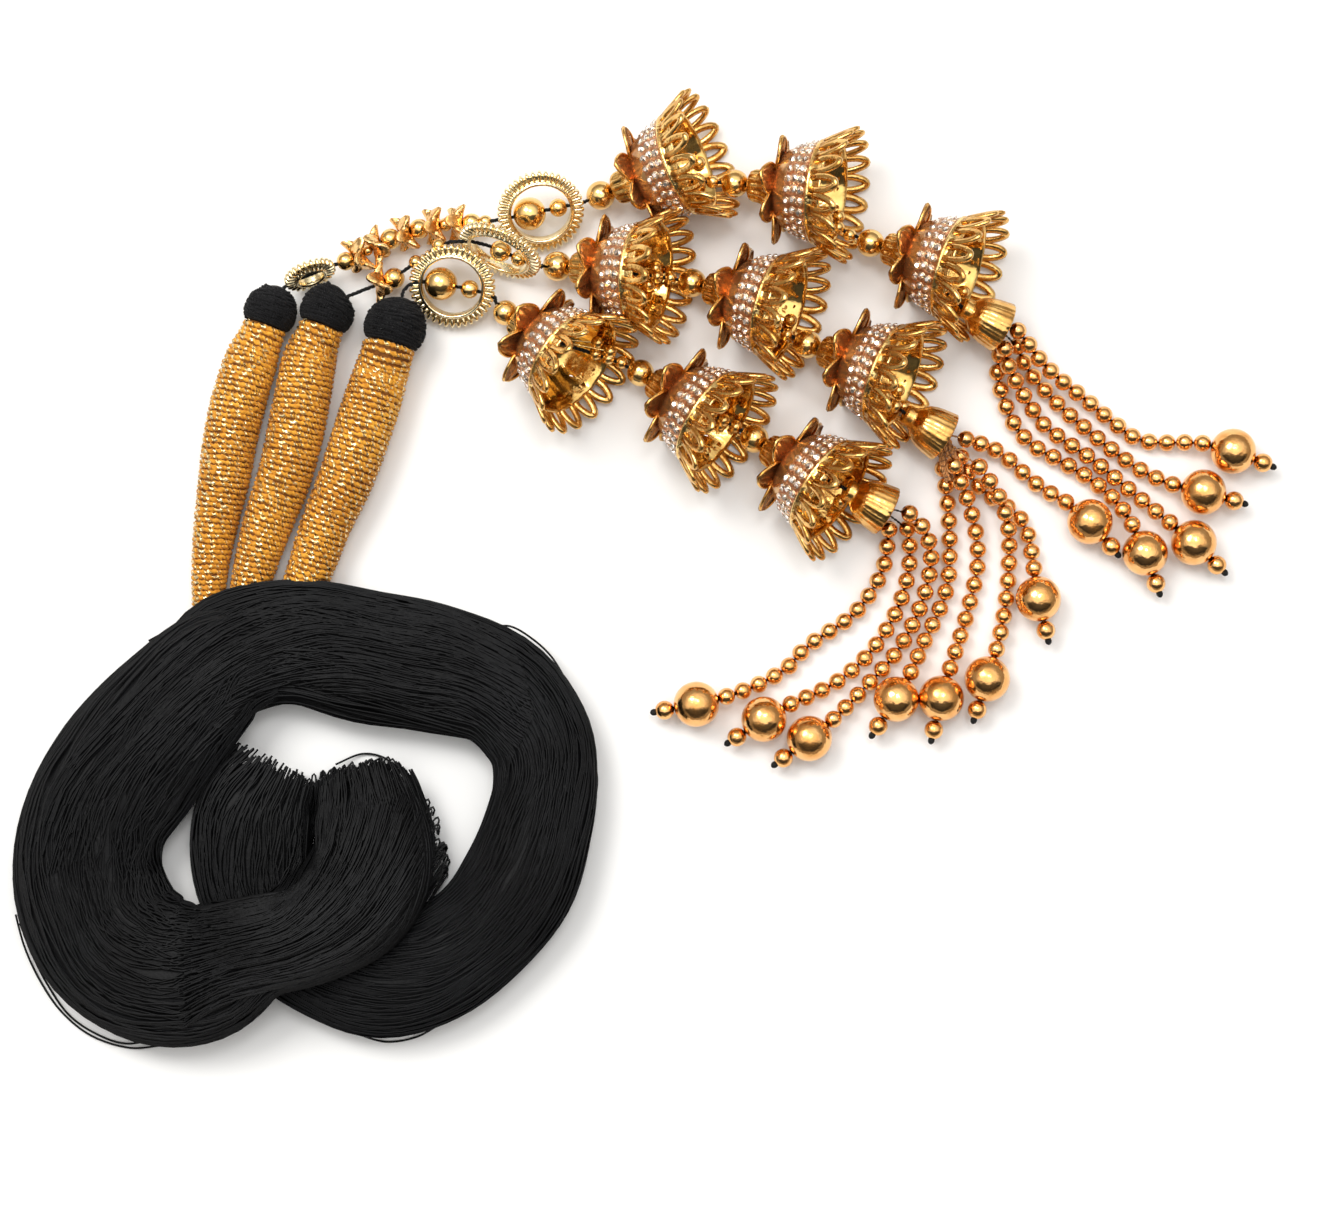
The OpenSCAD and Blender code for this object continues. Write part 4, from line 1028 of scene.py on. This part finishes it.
for name, (x, y, turn, tip, _, _) in bells.items():
    crown, way = bell_axis(x, y, turn, tip)
    down = (Vector((0, 0, -1)) + way * way.z).normalized()
    slope = radians(tip)
    for before, left in clapper_spots[name]:
        deep = sqrt(wall_r * wall_r - left * left)
        s = bell_len + (before - deep * sin(slope)) / cos(slope)
        outwards = (down * deep + heading(turn + 90) * left).normalized()
        hook, ball = [in_part(crown + way * h + outwards * o) for h, o in (hook_at, (s, wall_near + (s - wall_at) * wall_flare))]
        clapper_wires.append([hook, hook.lerp(ball, 0.5) - outwards * wire_bend, ball])
        clapper_balls.append((ball, clapper_r, (ball - hook).normalized()))
for route, _, _ in cord_items.values():
    corners = route[-8:]
    for k in (1, 3, 5):  # from inside one bell to the bead before the next, or to the end cap
        way = (corners[k + 1] - corners[k]).normalized()
        clapper_balls += [(corners[k + 1] - way * s, clapper_r, way) for s in (0.0014, 0.0047, 0.0080)]
clappers = gathered("clappers", [laid("clapper_wires", clapper_wires, 0.00022, 5, bead_gold),
                                 strung("clapper_balls", small_bead, clapper_balls, bead_gold)], [bead_gold])
hand_in(clappers, "gold")


# Flowers and beads on the cords: star-shaped spacers of gilt brass, each cast with six petals
# that are bent up and down in turn, and hollow gilt balls. All of them slide on the cord.
flower_gold = metal_paint("flower_gold", (0.95, 0.62, 0.27), (0.74, 0.36, 0.10), 380.0, 0.12, 0.25, 0.6)


def cord_way(route, place):
    """Way of the cord where it passes a place."""
    gaps = [((a.lerp(b, min(max((place - a).dot(b - a) / (b - a).length_squared, 0), 1)) - place).length, (b - a).normalized())
            for a, b in zip(route, route[1:])]
    return min(gaps, key=lambda gap: gap[0])[1]


def flower_shape():
    """Cast flower of radius 1 with its hole along Z; every other petal is bent the other way."""
    sides, hole, points = 72, 0.18, []
    reach, thick = [hole, 0.2, 0.34, 0.55, 0.78, 0.93, 1.0], [0.18, 0.28, 0.30, 0.26, 0.22, 0.16, 0.0]
    for face in (1, -1):
        for u, h in zip(reach, thick):
            for a in round_turns(sides):
                edge = 0.62 + 0.42 * abs(cos(3 * a)) ** 0.5
                r = hole + (u - hole) / 0.82 * (edge - hole)
                bend = 0.46 * u * u * cos(3 * a)
                points.append((r * cos(a), r * sin(a), bend + face * h))
    rows = len(reach)
    pairs = [(i, i + 1) for i in range(2 * rows - 1) if i != rows - 1] + [(0, rows), (rows - 1, 2 * rows - 1)]
    return shape("flower", points, [face for low, high in pairs for face in band(low * sides, high * sides, sides)])


star_flower = flower_shape()
for strand, (route, flowers, beads) in cord_items.items():
    balls = gathered(f"cord_beads_{strand}", [strung(f"{shape_of.name}_balls_{strand}", shape_of, [
        (place, size, cord_way(route, place)) for place, size, _ in beads if (size > 0.003) == big], bead_gold)
        for shape_of, big in ((large_bead, True), (small_bead, False))], [bead_gold])
    hand_in(balls, "gold", f"spacers_{strand}")
    if flowers:
        stars = gathered(f"star_flowers_{strand}", [strung(f"stars_{strand}", star_flower, flowers, flower_gold)], [flower_gold])
        hand_in(stars, "orange_gold", f"flowers_{strand}")

# End caps and tassel threads: a pressed brass cup with fine flutes on the end of each cord. Inside
# it the cord and the threads are tied in one knot; each thread runs through its beads and ends in
# a knot of its own. The second tassel's threads are copper-coloured, and some carry no beads.
cap_gold = metal_paint("cap_gold", (0.88, 0.52, 0.17), (0.60, 0.29, 0.07), 220.0, 0.12, 0.2, 0.4)
cap_outline = [  # radius and distance, from the tip to the mouth and back inside
    (1.0, 0.6), (1.8, 0.2), (2.3, 0.5), (2.5, 1.2), (2.4, 2.2), (2.8, 3.0), (3.8, 3.8), (4.6, 4.9), (5.2, 6.4), (5.6, 8.2),
    (5.9, 10.2), (6.05, 11.35), (5.95, 11.55), (5.75, 11.3), (5.5, 10.0), (5.2, 8.2), (4.8, 6.5), (4.0, 5.1), (2.6, 4.3),
    (1.0, 4.0)]
tassel_copper = thread_paint("tassel_copper", (0.36, 0.13, 0.03), (0.78, 0.38, 0.14), 1200.0, 0.4, 0.5, 0.2)
knot_steps = (-0.98, -0.85, -0.6, -0.3, 0, 0.3, 0.6, 0.85, 0.98)
knot_at, knot_half, knot_r, past_bead = 7.6, 2.3, 0.0023, 0.0034  # past_bead is the thread beyond the last bead's middle
thread_end = [(1.9, 0.5), (2.2, 0.75), (2.7, 0.8), (3.2, 0.6), (3.5, 0.2)]  # distance from the last bead's middle, radius


def cap_ripple(a, r, s):
    """The flutes start a little behind the tip."""
    return 0.014 * cos(24 * a) * min(1.0, max(0.0, s - 2) / 4)


for index, (x, y, z, turn, slope) in enumerate(end_caps):
    cap = shape(f"cap_{index + 1}", turned(cap_outline, 96, cap_ripple), lattice(len(cap_outline), 96, True), paints=[cap_gold],
                smooth=True)
    cap = gathered(f"end_cap_{index + 1}_fluted", [cap], [cap_gold])
    way = heading(turn, -slope)
    cap.data.transform(aimed(Vector((x, y, z)) - way * cap_len, way))
    hand_in(cap, "gold", f"end_cap_{index + 1}")

    # The knot and the threads that hold the bead strings, twisted from two plies
    paint = tassel_copper if index == 1 else cord_black
    knot_line = [on_cap(index, knot_at + knot_half * s) for s in knot_steps]
    knot_size = [knot_r * sqrt(1 - s * s) for s in knot_steps]
    pieces = [skin(f"knot_{index + 1}", round_rings(knot_line, [0.9 * r for r in knot_size], 20), paint),
              wound(f"knot_yarn_{index + 1}", knot_line, knot_size, {
                  "Turns": 9.0, "Steps": 300, "Thread": 0.00028, "Flatness": 0.8, "Lay": 0.0012, "Looseness": 0.0006, "Sides": 5,
                  "Seed": 2.0 + index, "Material": paint, "Foil": paint})]
    for name, places in tassel_strings.items():
        if name.startswith(f"beads_{index + 1}"):
            line = [q[0] for q in places]
            way = (line[-1] - line[-2]).normalized()
            route = rounded([on_cap(index, 8.4)] + line + [line[-1] + way * past_bead], 0.0012)
            pieces.append(twisted(name + "_thread", route, 0.00027, 2, 0.0018, 3, paint))
            end = round_rings([line[-1] + way * s * MM for s, _ in thread_end], [r * MM for _, r in thread_end], 12)
            pieces.append(skin(name + "_end", end, cord_black))
    if index == 1:  # threads without beads
        for k in range(7):
            share = k / 6 - 0.5
            away = Vector((share * 3.4, share * 2.2, 0.9 * sin(2.6 * k)))
            bare = [on_cap(1, 8.5), on_cap(1, 11.0) + away * 0.6 * MM, in_part(Vector((71.8, 24.2, 6.2)) + away),
                    in_part(Vector((73.4, 20.4, 5.2)) + away * 1.1)]
            pieces.append(twisted(f"bare_{k}", rounded(bare, 0.0008), 0.00046, 2, 0.0020, 5, paint))
    hand_in(gathered(f"threads_{index + 1}_twisted", pieces, [paint, cord_black] if paint != cord_black else [paint]), "black_cord",
            f"threads_{index + 1}")
for spare in (small_bead, large_bead, star_flower):
    bpy.data.objects.remove(spare)
